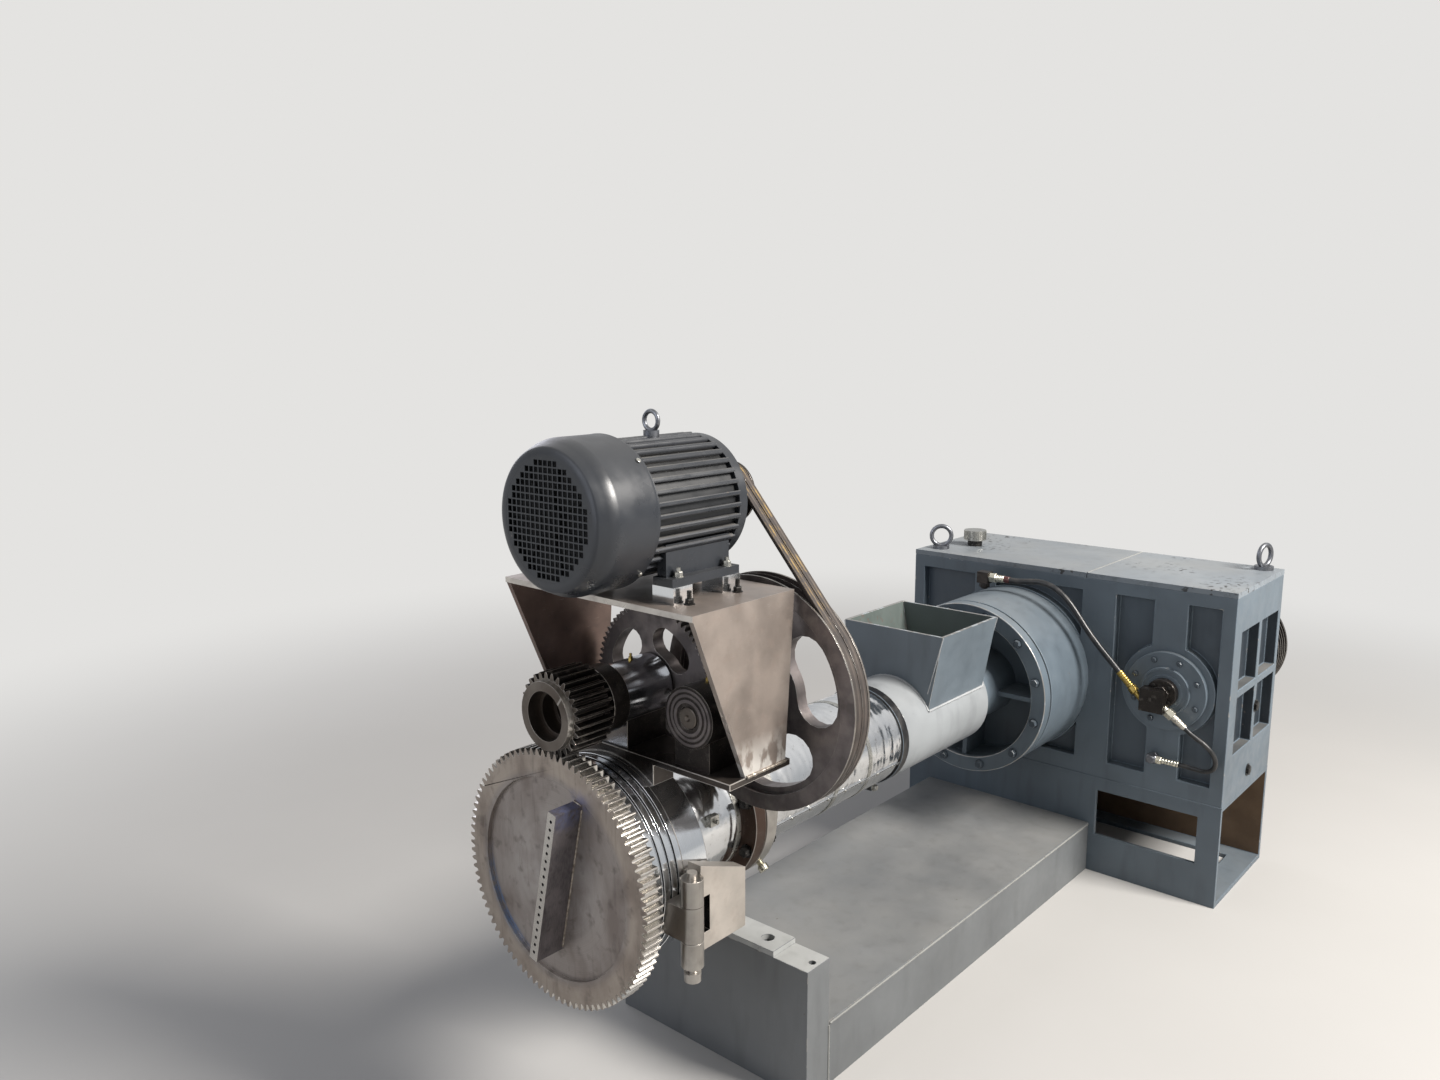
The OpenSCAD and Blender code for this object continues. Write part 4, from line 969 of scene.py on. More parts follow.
def hose(name, points, radius, node):
    """A rubber hose on its CAD route."""
    path = smooth_path(points)
    shape = Shape()
    shape.sweep(path, radius, 24)
    piece = shape.make(name, "rubber")
    stands_for(piece, node)


def hex_nut(shape, begin, end, across, origin, way, slot=0):
    """A hexagon on a pipe, with a chamfer at both ends."""
    shape.rod(begin, end, across * 0.577, origin, way, 6, slot, chamfer=1.0)


def ridged(shape, begin, end, radius, ridges, origin, way, slot=0):
    """A crimped ferrule: a sleeve with pressed ridges."""
    pitch, depth = (end - begin) / ridges, 1.1
    profile = [(begin, 0)]
    for k in range(ridges):
        at = begin + k * pitch
        profile += [(at, radius - depth), (at + pitch * 0.2, radius), (at + pitch * 0.75, radius)]
        profile.append((at + pitch * 0.92, radius - depth))
    shape.turn(profile + [(end, 0)], origin, way, 32, slot)


def drum_hose_fitting():
    """Post, elbow block and ferrule on top of the drum."""
    at = DRUM_PORT
    body = Shape()
    body.rod(-34, -14, 9, at, Z, 32, chamfer=0.6)
    hex_nut(body, -30, -17, 26, at, Z)
    body.block(at + Vector((-15, -17, -17)), at + Vector((15, 17, 15)))
    stands_for(body.make("drum_elbow", "oily_plain", "tip", bevel=1.6), "drum_fitting")
    nut = Shape()
    hex_nut(nut, 17, 37, 25, at, -Y)
    ridged(nut, 37, 62, 10.2, 5, at, -Y)
    finished(nut.make("drum_hose_ferrule", "nickel", bevel=0.3))
    sleeve = Shape()
    sleeve.rod(60, 77, 9.4, at, -Y, 28, chamfer=0.8)
    finished(sleeve.make("drum_hose_sleeve", "red_sleeve"))


def cover_union():
    """Oily union on the bearing cover, with a brass ferrule up to one hose and a braided one below."""
    seat = span("bearing_cover")[0].x
    body = Shape()
    body.rod(0, 20, 38, (seat - 20, COVER.y, COVER.z), X, 48, chamfer=1.5)
    body.block((seat - 52, COVER.y - 17, COVER.z - 46), (seat - 14, COVER.y + 45, COVER.z + 14))
    hex_nut(body, 0, 12, 40, (seat - 32, COVER.y, COVER.z), X)
    stands_for(body.make("oil_union_block", "oily", "tip", bevel=2.2), "oil_union")
    caps = ring_of(4, 28, seat - 20, -X, COVER.y, COVER.z, 45)
    repeated("union_screws", caps, cap_screw, "black_bolt", "dark_gear_steel", radius=4.5, height=5)
    port = Vector(UPPER_HOSE[-1])
    up = (port - UNION_PORT).normalized()
    brass = Shape()
    ridged(brass, -2, 46, 9.4, 7, port, -up)
    hex_nut(brass, 46, 64, 21, port, -up)
    brass.rod(64, 100, 7.5, port, -up, 28, chamfer=0.8)
    finished(brass.make("upper_hose_ferrule", "brass", bevel=0.3))
    end = Vector(LOWER_HOSE[0])
    down = Vector((0, -0.8, -0.6))
    nut = Shape()
    hex_nut(nut, 38, 58, 25, end, -down)
    nut.rod(58, 80, 9, end, -down, 28, chamfer=0.8)
    finished(nut.make("lower_hose_nut", "nickel", bevel=0.4))
    sleeve = Shape()
    sleeve.turn([(-2, 0), (-2, 7.2), (2, 8), (30, 9.4), (38, 9.4), (38, 0)], end, -down, 32)
    finished(sleeve.make("lower_hose_ferrule", "braid"))


def valve():
    """Small elbow in the gearbox's rib and the ferrule of the lower hose."""
    at = VALVE
    body = Shape()
    body.rod(0, CASE_LOW.x - at.x, 9, at, X, 28)
    hex_nut(body, 12, 21, 24, at, X)
    body.rod(-13, 13, 12.5, at, Y, 32, chamfer=2)
    body.rod(-13, 12, 11, at, X, 32, chamfer=2)
    stands_for(body.make("drain_elbow", "eye_steel", bevel=0.5), "drain_valve")
    sleeve = Shape()
    hex_nut(sleeve, 12, 26, 19, at, -Y)
    ridged(sleeve, 26, 71, 8.2, 6, at, -Y)
    finished(sleeve.make("drain_hose_ferrule", "nickel", bevel=0.2))


# Drum, feed section and barrel

def drum():
    """Thrust drum with its bolted front ring, the ribbed neck and the welds inside."""
    bolt_circle, rib_root, rib_side = 211, 91.5, 6.5
    dressed("thrust_drum", ["body_paint", "edge"], 1.8, segments=3)
    dressed("drum_flange", ["body_paint", "bright_edge"], 2.2, segments=3)
    seats = ring_of(12, bolt_circle, DRUM_LOW.x, -X, turn=15)
    # The bolts' darker paint is painted shade.
    bolts("drum_bolts", seats, 18, material="bolt_shade_paint", washer=1.4)
    dressed("feed_neck", ["body_paint", "edge"], 1.2)
    rear = span("feed_neck")[1].x
    lines = []
    for turn in (0, 90, 180, 270):
        out, side = spoke(turn)
        for s in (-1, 1):
            root = Vector((0, 0, AXIS)) + out * rib_root + side * (rib_side * s)
            lines.append([root + X * (DRUM_LOW.x + 14), root + X * (rear - 2)])
    weld_bead("neck_rib_welds", lines, 2.6, "painted_weld")


def feed():
    """Feed section with its open box, the weld round the box, and the screw that shows in the throat."""
    foot, flare = 105.9, 39.5
    mid = (BOX_LOW + BOX_HIGH) / 2

    def sheet_side(centre, normal):
        """The sheet's upper edge is cut bare, the inside is scoured by the plastic."""
        if centre.z > BOX_HIGH.z - 1 and normal.z > 0.9:
            return 1
        inner = Vector((mid.x - centre.x, mid.y - centre.y, 0)).dot(normal) > 0 and abs(normal.z) < 0.6
        edge_out = min(abs(centre.x - BOX_LOW.x), abs(centre.x - BOX_HIGH.x)) < 1
        return 2 if inner and not edge_out else 0

    dressed("feed_barrel", ["feed_paint", "bright_edge"], 1.6, segments=3)
    dressed("feed_box", ["box_paint", "bright_edge", "box_inside"], 1.1, sheet_side)
    radius = FEED_TOP - AXIS
    rise = math.sqrt(radius ** 2 - foot ** 2)
    half = math.atan2(foot, rise)
    arc = [half * (k / 12 - 1) for k in range(25)]
    lines = [[(x, radius * math.sin(a), AXIS + radius * math.cos(a)) for a in arc]
             for x in (BOX_LOW.x - 0.5, BOX_HIGH.x + 0.5)]
    for y in (-foot - 1.5, foot + 1.5):
        lines.append([(BOX_LOW.x, y, AXIS + rise - 1), (BOX_HIGH.x, y, AXIS + rise - 1)])
    weld_bead("feed_box_weld", lines, 3.2, "feed_weld")
    height = BOX_HIGH.z - BOX_LOW.z - 36
    corners = [[(x, s * (101 + flare * k), BOX_LOW.z + 34 + k * height) for k in (0.05, 1)]
               for x in (BOX_LOW.x, BOX_HIGH.x) for s in (-1, 1)]
    weld_bead("feed_box_corner_welds", corners, 1.4, "feed_weld")
    screw_flight()


def screw_flight():
    """Screw with its flight: a hardened helix that is rubbed bright at its crest."""
    core, crest, pitch, land, root_half, end_gap, steps_a_turn = 30, 48.6, 98, 12, 9, 45, 40
    low, high = span("feed_screw")
    length = high.x - low.x
    shape = Shape()
    shape.rod(0, length, core, (low.x, 0, AXIS), X, 64, chamfer=2)
    turns = (length - 2 * end_gap) / pitch
    steps = int(turns * steps_a_turn)
    section = ((core - 1, -root_half), (crest, -land / 2), (crest, land / 2), (core - 1, root_half))
    points = []
    for i in range(steps + 1):
        a = 2 * math.pi * turns * i / steps
        x = low.x + end_gap + pitch * turns * i / steps
        points += [Vector((x + dx, r * math.sin(a), AXIS + r * math.cos(a))) for r, dx in section]
    faces = [[i * 4 + k, i * 4 + (k + 1) % 4, i * 4 + 4 + (k + 1) % 4, i * 4 + 4 + k]
             for i in range(steps) for k in range(4)]
    faces += [[0, 3, 2, 1], [steps * 4 + k for k in range(4)]]
    shape.take(points, faces, 0)
    stands_for(shape.make("screw_with_flight", "hub", angle=40), "feed_screw")


def wrapped_cover(name, node, folds, laps):
    """Heater cover of thin bright sheet: bent round in shells that lap, with soft buckles beside its bands."""
    wall, fold_width, row_length, sides, screw_spacing = 30, 7.0, 4, 160, 62
    low, high = span(node)
    outer, length = (high.z - low.z) / 2, high.x - low.x
    rows = max(24, int(length / row_length))
    turns = [2 * math.pi * k / sides for k in range(sides)]
    points = []
    for i in range(rows + 1):
        x = low.x + length * i / rows
        crease = sum(math.exp(-((x - f) / fold_width) ** 2) for f in folds)
        for a in turns:
            buckle = noise.noise(Vector((x * 0.016, math.cos(a) * 1.6, math.sin(a) * 1.6)))
            ripple = noise.noise(Vector((x * 0.12, math.cos(a) * 3 + 7, math.sin(a) * 3)))
            r = outer - 1.8 + 1.4 * buckle + 0.6 * ripple - 1.3 * crease * (0.5 + buckle)
            points.append(Vector((x, r * math.cos(a), AXIS + r * math.sin(a))))
    inner = outer - wall
    points += [Vector((x, inner * math.cos(a), AXIS + inner * math.sin(a)))
               for x in (high.x, low.x) for a in turns]
    shape = Shape()
    shape.take(points, ring_faces(rows + 3, sides), 0)
    stands_for(shape.make(name, "cover", angle=50), node)
    strips = Shape()
    screws = []
    count = max(3, int(length / screw_spacing))
    for lap in laps:
        for edge in (lap - 1, lap + 1):
            out, side = spoke(edge)
            centre = Vector((0, 0, AXIS)) + out * (outer - 1.4)
            strips.block((low.x + 1.5, -1.1, -1), (high.x - 1.5, 1.1, 2), centre=centre, axes=(X, side, out))
        out = spoke(lap)[0]
        screws += [(Vector((low.x + length * (k + 0.5) / count, 0, AXIS)) + out * (outer - 0.3), out, X)
                   for k in range(count)]
    finished(strips.make(name + "_laps", "cover", bevel=0.4))
    repeated(name + "_screws", screws, cap_screw, "zinc", "machined_steel", radius=3.2, height=2.4)


def strap(name, x, radius, width, clamp_turn):
    """A thin strap round a cover, drawn tight by a small screw in its ears."""
    half, inner, outer = width / 2, radius - 0.6, radius + 0.9
    shape = Shape()
    shape.turn([(-half, inner), (half, inner), (half, outer), (-half, outer)], (x, 0, AXIS), X, 128)
    out, side = spoke(clamp_turn)
    centre = Vector((x, 0, AXIS)) + out * (radius + 5)
    for s in (-6, 6):
        shape.block((-half, -1, -5.5), (half, 1, 6), centre=centre + side * s, axes=(X, side, out))
    shape.rod(-13, 13, 2.4, centre, side, 12)
    finished(shape.make(name, "zinc", bevel=0.2))


def barrel():
    """Bright heater covers with straps, and the clamp band."""
    dressed("screw_barrel", ["hub"], 0.0)
    strap_radius = 114.6
    rear_low, rear_high = span("rear_heater_cover")
    front_low, front_high = span("front_heater_cover")
    rear_folds = [rear_low.x + 150, rear_low.x + 320, rear_high.x - 66, rear_high.x - 34]
    wrapped_cover("rear_cover_sheet", "rear_heater_cover", rear_folds, (200, 20))
    wrapped_cover("front_cover_sheet", "front_heater_cover", [front_low.x + 60, front_high.x - 34], (245, 65))
    for k, x in enumerate((rear_low.x + 34, rear_low.x + 250, rear_high.x - 130)):
        strap(f"rear_strap_{k}", x, strap_radius, 12, 285)
    strap("front_strap", front_high.x - 16, strap_radius, 10, 250)
    lug = Shape()
    lug.block((front_low.x + 90, -118, AXIS + 31), (front_low.x + 114, -106, AXIS + 52))
    lug.rod(0, 10, 4, (front_low.x + 102, -116, AXIS + 41), -Y, 16)
    finished(lug.make("cover_terminal", "zinc", bevel=1.0))
    dressed("clamp_band", ["band_rubber", "edge"], 1.4, segments=3)
    low = span("clamp_band")[0]
    bolts("band_bolt", [((low.x + 12.5, -30, low.z + 8), -Y, X)], 13)


def flanges():
    """Bolted flanges between the barrel's covers, with a bolt and nut in the front one's side."""
    bolt_circle, side_turn, side_reach = 130.5, 222, 143
    joint = (FLANGE_LOW.x + FLANGE_HIGH.x) / 2 + 1

    def half(centre, normal):
        """The front flange is brown with heat, the rear one still bright."""
        return 2 if centre.x > joint else 0

    dressed("barrel_flange", ["flange", "bar", "hub"], 1.4, half, segments=3)
    out = spoke(side_turn)[0]
    foot = Vector((FLANGE_HIGH.x - 10, 0, AXIS)) + out * side_reach
    thread = [(k * 1.5 + d, 7 - 0.8 * (d > 0)) for k in range(8) for d in (0, 0.75)]
    stub = Shape()
    stub.turn([(-3, 0), (-3, 7)] + thread + [(12, 0)], foot, out, 24)
    hex_nut(stub, 10, 22, 19, foot, out)
    finished(stub.make("flange_side_bolt", "nickel", angle=50))
    ends = (("flange_bolts", FLANGE_LOW.x, -X, 0.6), ("flange_nuts", FLANGE_HIGH.x, X, 7))
    for name, x, way, thread_end in ends:
        seats = ring_of(8, bolt_circle, x, way, turn=22.5)
        bolts(name, seats, 19, washer=2, thread=thread_end, material="black_bolt")


# Head

def head():
    """Head cylinder with its bolts, and the threaded ring."""
    bolt_circle, ring_bore, thread_floor, thread_top, thread_start = 160, 155, 160, 192.2, GEAR_LOW.x + 66

    def end_face(centre, normal):
        """The ends are turned flat, the rest of the cylinder is turned round."""
        return 2 if abs(normal.x) > 0.7 else 0

    def groove(centre, normal):
        """The grooves between the bright lands are near black; the ring's bore is near black as painted shade.
        """
        radius = off_axis(centre)
        in_groove = thread_floor < radius < thread_top and centre.x > thread_start and abs(normal.x) < 0.95
        return 2 if in_groove or radius < ring_bore else 0

    dressed("head_cylinder", ["bright_ring", "tip", "hub"], 1.6, end_face, segments=3)
    seats = ring_of(8, bolt_circle, HEAD_HIGH.x, X, turn=22.5)
    bolts("head_bolts", seats, 24, washer=2.2, material="black_bolt")
    dressed("threaded_ring", ["bright_ring", "bright_ring", "groove"], 1.3, groove, segments=3)


def hinge():
    """Flame-cut hinge leaf with its slot, the pin in turned knuckles, and the welds on the head."""
    knuckle_radius, pin_inset = 21, 20
    low = span("hinge_leaf")[0]
    pin_axis = Vector((middle("hinge_pin").x, low.y + pin_inset))

    def knuckle(centre, normal):
        """The knuckles round the pin are turned, the leaf is flame-cut."""
        return 3 if (centre.xy - pin_axis).length < knuckle_radius else 0

    def pin_end(centre, normal):
        """The pin's ends are cut bright."""
        return 1 if abs(normal.z) > 0.9 else 0

    finishes = ["cut_leaf", "cut_edge", "groove", "hub"]
    slot = Shape()
    # The slot's walls take the near-black groove material: painted shade.
    slot.block(low + Vector((41, 12, 47)), low + Vector((65, 51, 113)), slot=2)
    dressed("hinge_leaf", finishes, 1.4, knuckle, cutter=slot.make("leaf_slot", *finishes))
    dressed("hinge_pin", ["hub", "cut_edge"], 1.3, pin_end)
    arm = low + Vector((57, 50, 0))
    lines = [[arm + Z * z, arm + Z * z + X * 48] for z in (45, 145)]
    lines.append([arm + Vector((50, 0, 47)), arm + Vector((50, 0, 143))])
    weld_bead("hinge_welds", lines, 3.4)


def gear_plate():
    """Ring gear with its turned face, bright teeth and hub, and the deep bar with its row of holes."""
    root_radius, face_width, bar_lean, bar_half, bar_reach = 215, 41, 12.4, 10.5, 140

    def part(centre, normal):
        """Teeth, face and hub by their places."""
        if off_axis(centre) > root_radius and abs(normal.x) < 0.5:
            return 2
        return 3 if centre.x > GEAR_LOW.x + face_width else 0

    def drilled_edge(centre, normal):
        """The edge with the holes was milled."""
        return 2 if normal.x < -0.9 and centre.x < GEAR_LOW.x - 30 else 0

    dressed("ring_gear", ["gear_face", "tip", "tooth", "bearing"], 0.7, part, angle=28)
    dressed("perforated_strip", ["welded_bar", "tip", "tooth"], 0.6, drilled_edge)
    side, up = spoke(bar_lean)
    centre = Vector((GEAR_LOW.x + 8, -33, AXIS + 13))
    lines = [[centre + side * s - up * bar_reach, centre + side * s + up * bar_reach]
             for s in (-bar_half, bar_half)]
    top = centre + up * (bar_reach + 7) - X
    lines.append([top + side * 10, top - side * 10])
    weld_bead("strip_welds", lines, 2.2, body="gear_plate")


def pinions():
    """Pinion, the spoked gear behind it and the small gear on the belt wheel's shaft."""
    hub_radius, hub_depth, web_radius = 45, 61, 165

    def pinion_part(centre, normal):
        """The front hub and its bore are turned, the teeth are oily."""
        if off_axis(centre, z=PINION_Z) < hub_radius and centre.x < GEAR_LOW.x + hub_depth:
            return 3
        return 2 if centre.x < GEAR_LOW.x + 0.5 else 0

    def web(centre, normal):
        """The gear is dusty where the pinion's oil does not reach."""
        return 2 if off_axis(centre, z=PINION_Z) < web_radius else 0

    dressed("pinion", ["oily", "tip", "hub", "bore"], 0.6, pinion_part, angle=28)
    step = Shape()
    profile = [(20, 37), (20, 44.5), (65, 44.5), (65, 30), (46, 30), (46, 37)]
    step.turn(profile, (GEAR_LOW.x, 0, PINION_Z), X, 64)
    finished(step.make("pinion_bore_step", "bore", bevel=0.8), "pinion_shaft")
    dressed("intermediate_gear", ["oily", "tip", "wheel"], 0.6, web, angle=28)
    dressed("wheel_pinion", ["oily", "tip"], 0.6, angle=28)


# Drive

def bracket():
    """Saddle plate and bent bracket of raw plate, with bright packers, weld beads and the motor's bolts."""
    low, high, plate = BRACKET_LOW, BRACKET_HIGH, 10
    foot_height, foot_half, jack_half = 14, 108, 132

    def side_of(centre, normal):
        """The packers were milled bright, the left leg is darker with more oil patches, the plate's edges are
        flame-cut.
        """
        if centre.z > BRACKET_TOP + 0.5:
            return 2
        below = centre.z < BRACKET_TOP - 12
        if centre.y > high.y - 60 and below:
            return 3
        return 1 if abs(normal.x) > 0.95 and centre.z > BRACKET_TOP - 12 else 0

    dressed("saddle_plate", ["oily_plate", "cut_edge"], 1.4)
    dressed("drive_bracket", ["plate", "cut_edge", "bright_ring", "left_leg"], 1.2, side_of)
    under = BRACKET_TOP - plate
    top_lines = [[(low.x + 10, y, under), (high.x - 8, y, under)] for y in (low.y + 11, high.y - 11)]
    weld_bead("bracket_welds", top_lines, 3.6)
    level = SADDLE_HIGH.z
    foot_lines = [[(SADDLE_LOW.x + 42, y, level), (SADDLE_HIGH.x - 16, y, level)]
                  for y in (low.y - 0.5, low.y + 10.5, high.y - 10.5)]
    weld_bead("bracket_foot_welds", foot_lines, 3.4)
    feet = [(HEAD_HIGH.x + dx, side) for dx in (-82, 38) for side in (-1, 1)]
    seats = [((x, MOTOR.y + side * foot_half, PACKER_TOP + foot_height), Z, X) for x, side in feet]
    bolts("motor_foot_bolts", seats, 13, thread=6)
    spare = [((x, MOTOR.y + side * jack_half, BRACKET_TOP), Z, Y) for x, side in feet]
    bolts("bracket_jack_bolts", spare, 13, thread=13, material="black_bolt")


def bearings():
    """Bearing tubes of the two shafts, with seal rings and a grease nipple each."""
    tube_radius = 57

    def collar(centre, normal):
        """The front collar and the foot are black with oil, the tube is ground bright."""
        outside = off_axis(centre, z=PINION_Z) > tube_radius
        return 2 if centre.x < HEAD_LOW.x + 5 or outside else 0

    dressed("pinion_bearing", ["bearing", "tip", "oily_plain"], 1.0, collar, segments=3)
    dressed("wheel_bearing", ["oily_plain", "tip"], 1.4, segments=3)
    front = span("wheel_bearing")[0].x
    rings = Shape()
    for inner, outer, proud in ((45, 51, 1.6), (36, 42, 1.0), (26, 33, 2.0)):
        rings.turn([(0.5, inner), (0.5, outer), (-proud, outer - 0.6), (-proud, inner + 0.6)],
                   (front, WHEEL_Y, PINION_Z), X, 72)
    finished(rings.make("wheel_bearing_seals", "wheel", bevel=0.2))
    end = Shape()
    end.turn([(3, 0), (3, 19), (-2.0, 19), (-3.6, 17.4), (-3.6, 6), (1, 2.5), (1, 0)],
             (front + 1, WHEEL_Y, PINION_Z), X, 48)
    finished(end.make("wheel_shaft_centre", "bore"), "wheel_shaft")
    nipples = Shape()
    for x, y, r in ((HEAD_HIGH.x + 4, 0, 56), (HEAD_HIGH.x + 2, WHEEL_Y, 55)):
        nipples.rod(r - 1, r + 5, 4.6, (x, y, PINION_Z), Z, 6, chamfer=0.5)
        nipples.turn([(r + 5, 0), (r + 5, 2.6), (r + 8, 2.2), (r + 9, 3.0), (r + 11, 2.4), (r + 11.6, 0)],
                     (x, y, PINION_Z), Z, 16)
    finished(nipples.make("grease_nipples", "brass"))


def belt_wheel():
    """Cast belt wheel with rounded openings, its hub, bush screws and key."""
    groove_floor, screw_circle, bush_proud = 216.5, 31, 4

    def part(centre, normal):
        """The rim's lands and the faces beside the belts are rubbed."""
        return 2 if off_axis(centre, WHEEL_Y, PINION_Z) > groove_floor else 0

    dressed("belt_wheel", ["wheel", "wheel_edge", "tip"], 2.2, part, segments=3)
    hub = Shape()
    for x, way in ((WHEEL_LOW.x, -X), (WHEEL_HIGH.x, X)):
        hub.turn([(-1, 20.5), (-1, 40), (4, 38.5), (4, 21.5)], (x, WHEEL_Y, PINION_Z), way, 64)
    finished(hub.make("wheel_bush", "tooth", bevel=0.5), "wheel_shaft")
    screws = [place for x, way in ((WHEEL_HIGH.x + bush_proud, X), (WHEEL_LOW.x - bush_proud, -X))
              for place in ring_of(3, screw_circle, x, way, WHEEL_Y, PINION_Z)]
    repeated("bush_screws", screws, cap_screw, "black_bolt", "dark_gear_steel", "wheel_shaft", radius=4.2,
             height=2.4)


def pulley():
    """Small two-groove pulley on the motor's shaft."""
    dressed("motor_pulley", ["oily_plain", "tip"], 0.8)
    screws = ring_of(2, 30, WHEEL_HIGH.x, X, MOTOR.y, MOTOR.z)
    repeated("pulley_screws", screws, cap_screw, "black_bolt", "dark_gear_steel", "motor_shaft", radius=4,
             height=2.2)


def v_belt(name, node):
    """A wrapped V-belt on its tight loop, with a crowned back and slanted flanks."""
    large, small, run_steps, half = 218, 58, 16, 8.4
    x = middle(node).x
    gap = Vector((WHEEL_Y - MOTOR.y, PINION_Z - MOTOR.z))
    heading = math.atan2(gap.y, gap.x)
    lean = math.acos((small - large) / gap.length)
    arcs = [((MOTOR.y, MOTOR.z), small, heading + lean, heading + 2 * math.pi - lean, 40),
            ((WHEEL_Y, PINION_Z), large, heading - lean, heading + lean, 96)]
    stations = []
    for ((cy, cz), r, a0, a1, steps), ((fy, fz), fr, f0, *_) in zip(arcs, reversed(arcs)):
        for i in range(steps + 1):
            a = a0 + (a1 - a0) * i / steps
            stations.append((cy + r * math.cos(a), cz + r * math.sin(a), math.cos(a), math.sin(a)))
        y0, z0, ny, nz = stations[-1]
        y1, z1 = fy + fr * math.cos(f0), fz + fr * math.sin(f0)
        for i in range(1, run_steps):
            t = i / run_steps
            stations.append((y0 + (y1 - y0) * t, z0 + (z1 - z0) * t, ny, nz))
    section = [(-half, -1.6), (-half + 1.2, -0.4), (-4, 0.0), (0, 0.15), (4, 0.0), (half - 1.2, -0.4),
               (half, -1.6), (5.4, -9.4), (-5.4, -9.4)]
    worn = [0.2, 0.8, 0.3, 1, 0.35, 0.75, 0.2, 0, 0]
    points = [Vector((x + dx, y + ny * h, z + nz * h)) * MM for y, z, ny, nz in stations for dx, h in section]
    mesh = bpy.data.meshes.new(name)
    mesh.from_pydata(points, [], ring_faces(len(stations), len(section)))
    store = mesh.attributes.new("across", "FLOAT", "POINT")
    store.data.foreach_set("value", worn * len(stations))
    form = bmesh.new()
    form.from_mesh(mesh)
    bmesh.ops.recalc_face_normals(form, faces=form.faces)
    form.to_mesh(mesh)
    form.free()
    stands_for(rounded(new_piece(name, mesh, ["belt"]), 0, angle=35), node)


def motor():
    """Fan-cooled motor: ribbed body with end shields and eye, and a pressed cover with a punched grille."""
    eye_foot, body_radius, shield_circle, nose_circle, fin_middle = 118, 107, 101, 62, 111

    def part(centre, normal):
        """The lifting eye is forged steel, the body between the fins is painted near black as painted shade."""
        if centre.z > MOTOR.z + eye_foot:
            return 2
        return 3 if off_axis(centre, MOTOR.y, MOTOR.z) < body_radius and abs(normal.x) < 0.3 else 0

    dressed("motor_body", ["motor_paint", "motor_edge", "eye_steel", "fin_gap_shade"], 0.7, part)
    body_high = span("motor_body")[1]
    shield = body_high.x - 14
    bolts("shield_bolts", ring_of(4, shield_circle, shield, X, MOTOR.y, MOTOR.z, 45), 13)
    screws = ring_of(4, nose_circle, body_high.x, X, MOTOR.y, MOTOR.z, 20)
    repeated("nose_screws", screws, cap_screw, "black_bolt", "dark_gear_steel", radius=4, height=4)
    seal = Shape()
    seal.turn([(-0.5, 15), (-0.5, 34), (1.4, 33), (1.4, 16)], (body_high.x, MOTOR.y, MOTOR.z), X, 64)
    finished(seal.make("motor_shaft_seal", "band_rubber"))
    fin_end = body_high.x - 33.4
    fins = [(Vector(((FAN_HIGH.x + 3 + fin_end) / 2, MOTOR.y, MOTOR.z)) + out * fin_middle, out, X)
            for out in (spoke(turn)[0] for turn in range(0, 360, 10))]
    # The fins' light dusty tops are also a painted highlight.
    fin_piece = repeated("cooling_fins", fins, tapered_fin, "fin_paint", length=fin_end - FAN_HIGH.x - 3,
                         height=11.6, foot=7.6, tip=5.0)
    finished(fin_piece)
    fan_cover()


def fan_cover():
    """Pressed fan cover with a rolled edge, a near-black inside of painted shade and a grille of punched square
    holes.
    """
    x0, x1 = FAN_LOW.x, FAN_HIGH.x
    outer, face = FAN_HIGH.z - MOTOR.z, 106
    shell = Shape()
    profile = [(0, face - 6), (0, face - 1.5)]
    for a in (math.radians(turn) for turn in (25, 50, 75)):
        profile.append((7 * (1 - math.cos(a)) * 0.9, face - 1.5 + 12 * math.sin(a)))
    for t in (0.15, 0.35, 0.6, 0.85, 1):
        profile.append((8 + 30 * t, face + 10.5 + (outer - face - 11) * math.sin(t * math.pi / 2)))
    profile += [(x1 - x0 - 6, outer - 0.6), (x1 - x0 - 3, outer), (x1 - x0, outer - 1), (x1 - x0, outer - 3.4),
                (40, outer - 3.4), (12, face + 6), (3, face - 6)]
    shell.turn(profile, (x0, MOTOR.y, MOTOR.z), X, 144)
    stands_for(shell.make("fan_cover_shell", "motor_paint", angle=34), "motor_fan_cover")
    plate = Shape()
    plate.turn([(0.1, 0), (0.1, face - 5), (2.6, face - 5), (2.6, 0)], (x0, MOTOR.y, MOTOR.z), X, 96)
    grille = plate.make("fan_grille", "grille_paint")
    pitch, hole, rows = 11.2, 8.9, range(-9, 10)
    cells = [((x0 + 1, MOTOR.y + i * pitch, MOTOR.z + j * pitch), X, Z) for i in rows for j in rows
             if math.hypot(i, j) * pitch < face - 11]
    cutter = repeated("grille_openings", cells, hole_box, "grille_paint", wide=hole, high=hole, deep=9)
    punched(grille, cutter)
    finished(grille)
    # The near-black disc behind the grille is painted shade inside the cover; the blades and hub are the fan.
    inside = Shape()
    inside.turn([(16, 0), (16, outer - 14), (19, outer - 14), (19, 0)], (x0, MOTOR.y, MOTOR.z), X, 72)
    for k in range(7):
        out, side = spoke(360 * k / 7)
        inside.block((0, 26, -1.5), (9, 92, 1.5), centre=(x0 + 8, MOTOR.y, MOTOR.z), axes=(X, out, side))
    inside.rod(4, 17, 26, (x0, MOTOR.y, MOTOR.z), X, 40)
    finished(inside.make("cooling_fan_and_shade_disc", "hollow", bevel=0.3))
    screws = [(Vector((x1 - 9, MOTOR.y, MOTOR.z)) + out * (outer - 0.4), out, X)
              for out in (spoke(turn)[0] for turn in (45, 135, 225, 315))]
    repeated("fan_cover_screws", screws, cap_screw, "zinc", "machined_steel", radius=4.2, height=2.4)


# Stage, light and camera

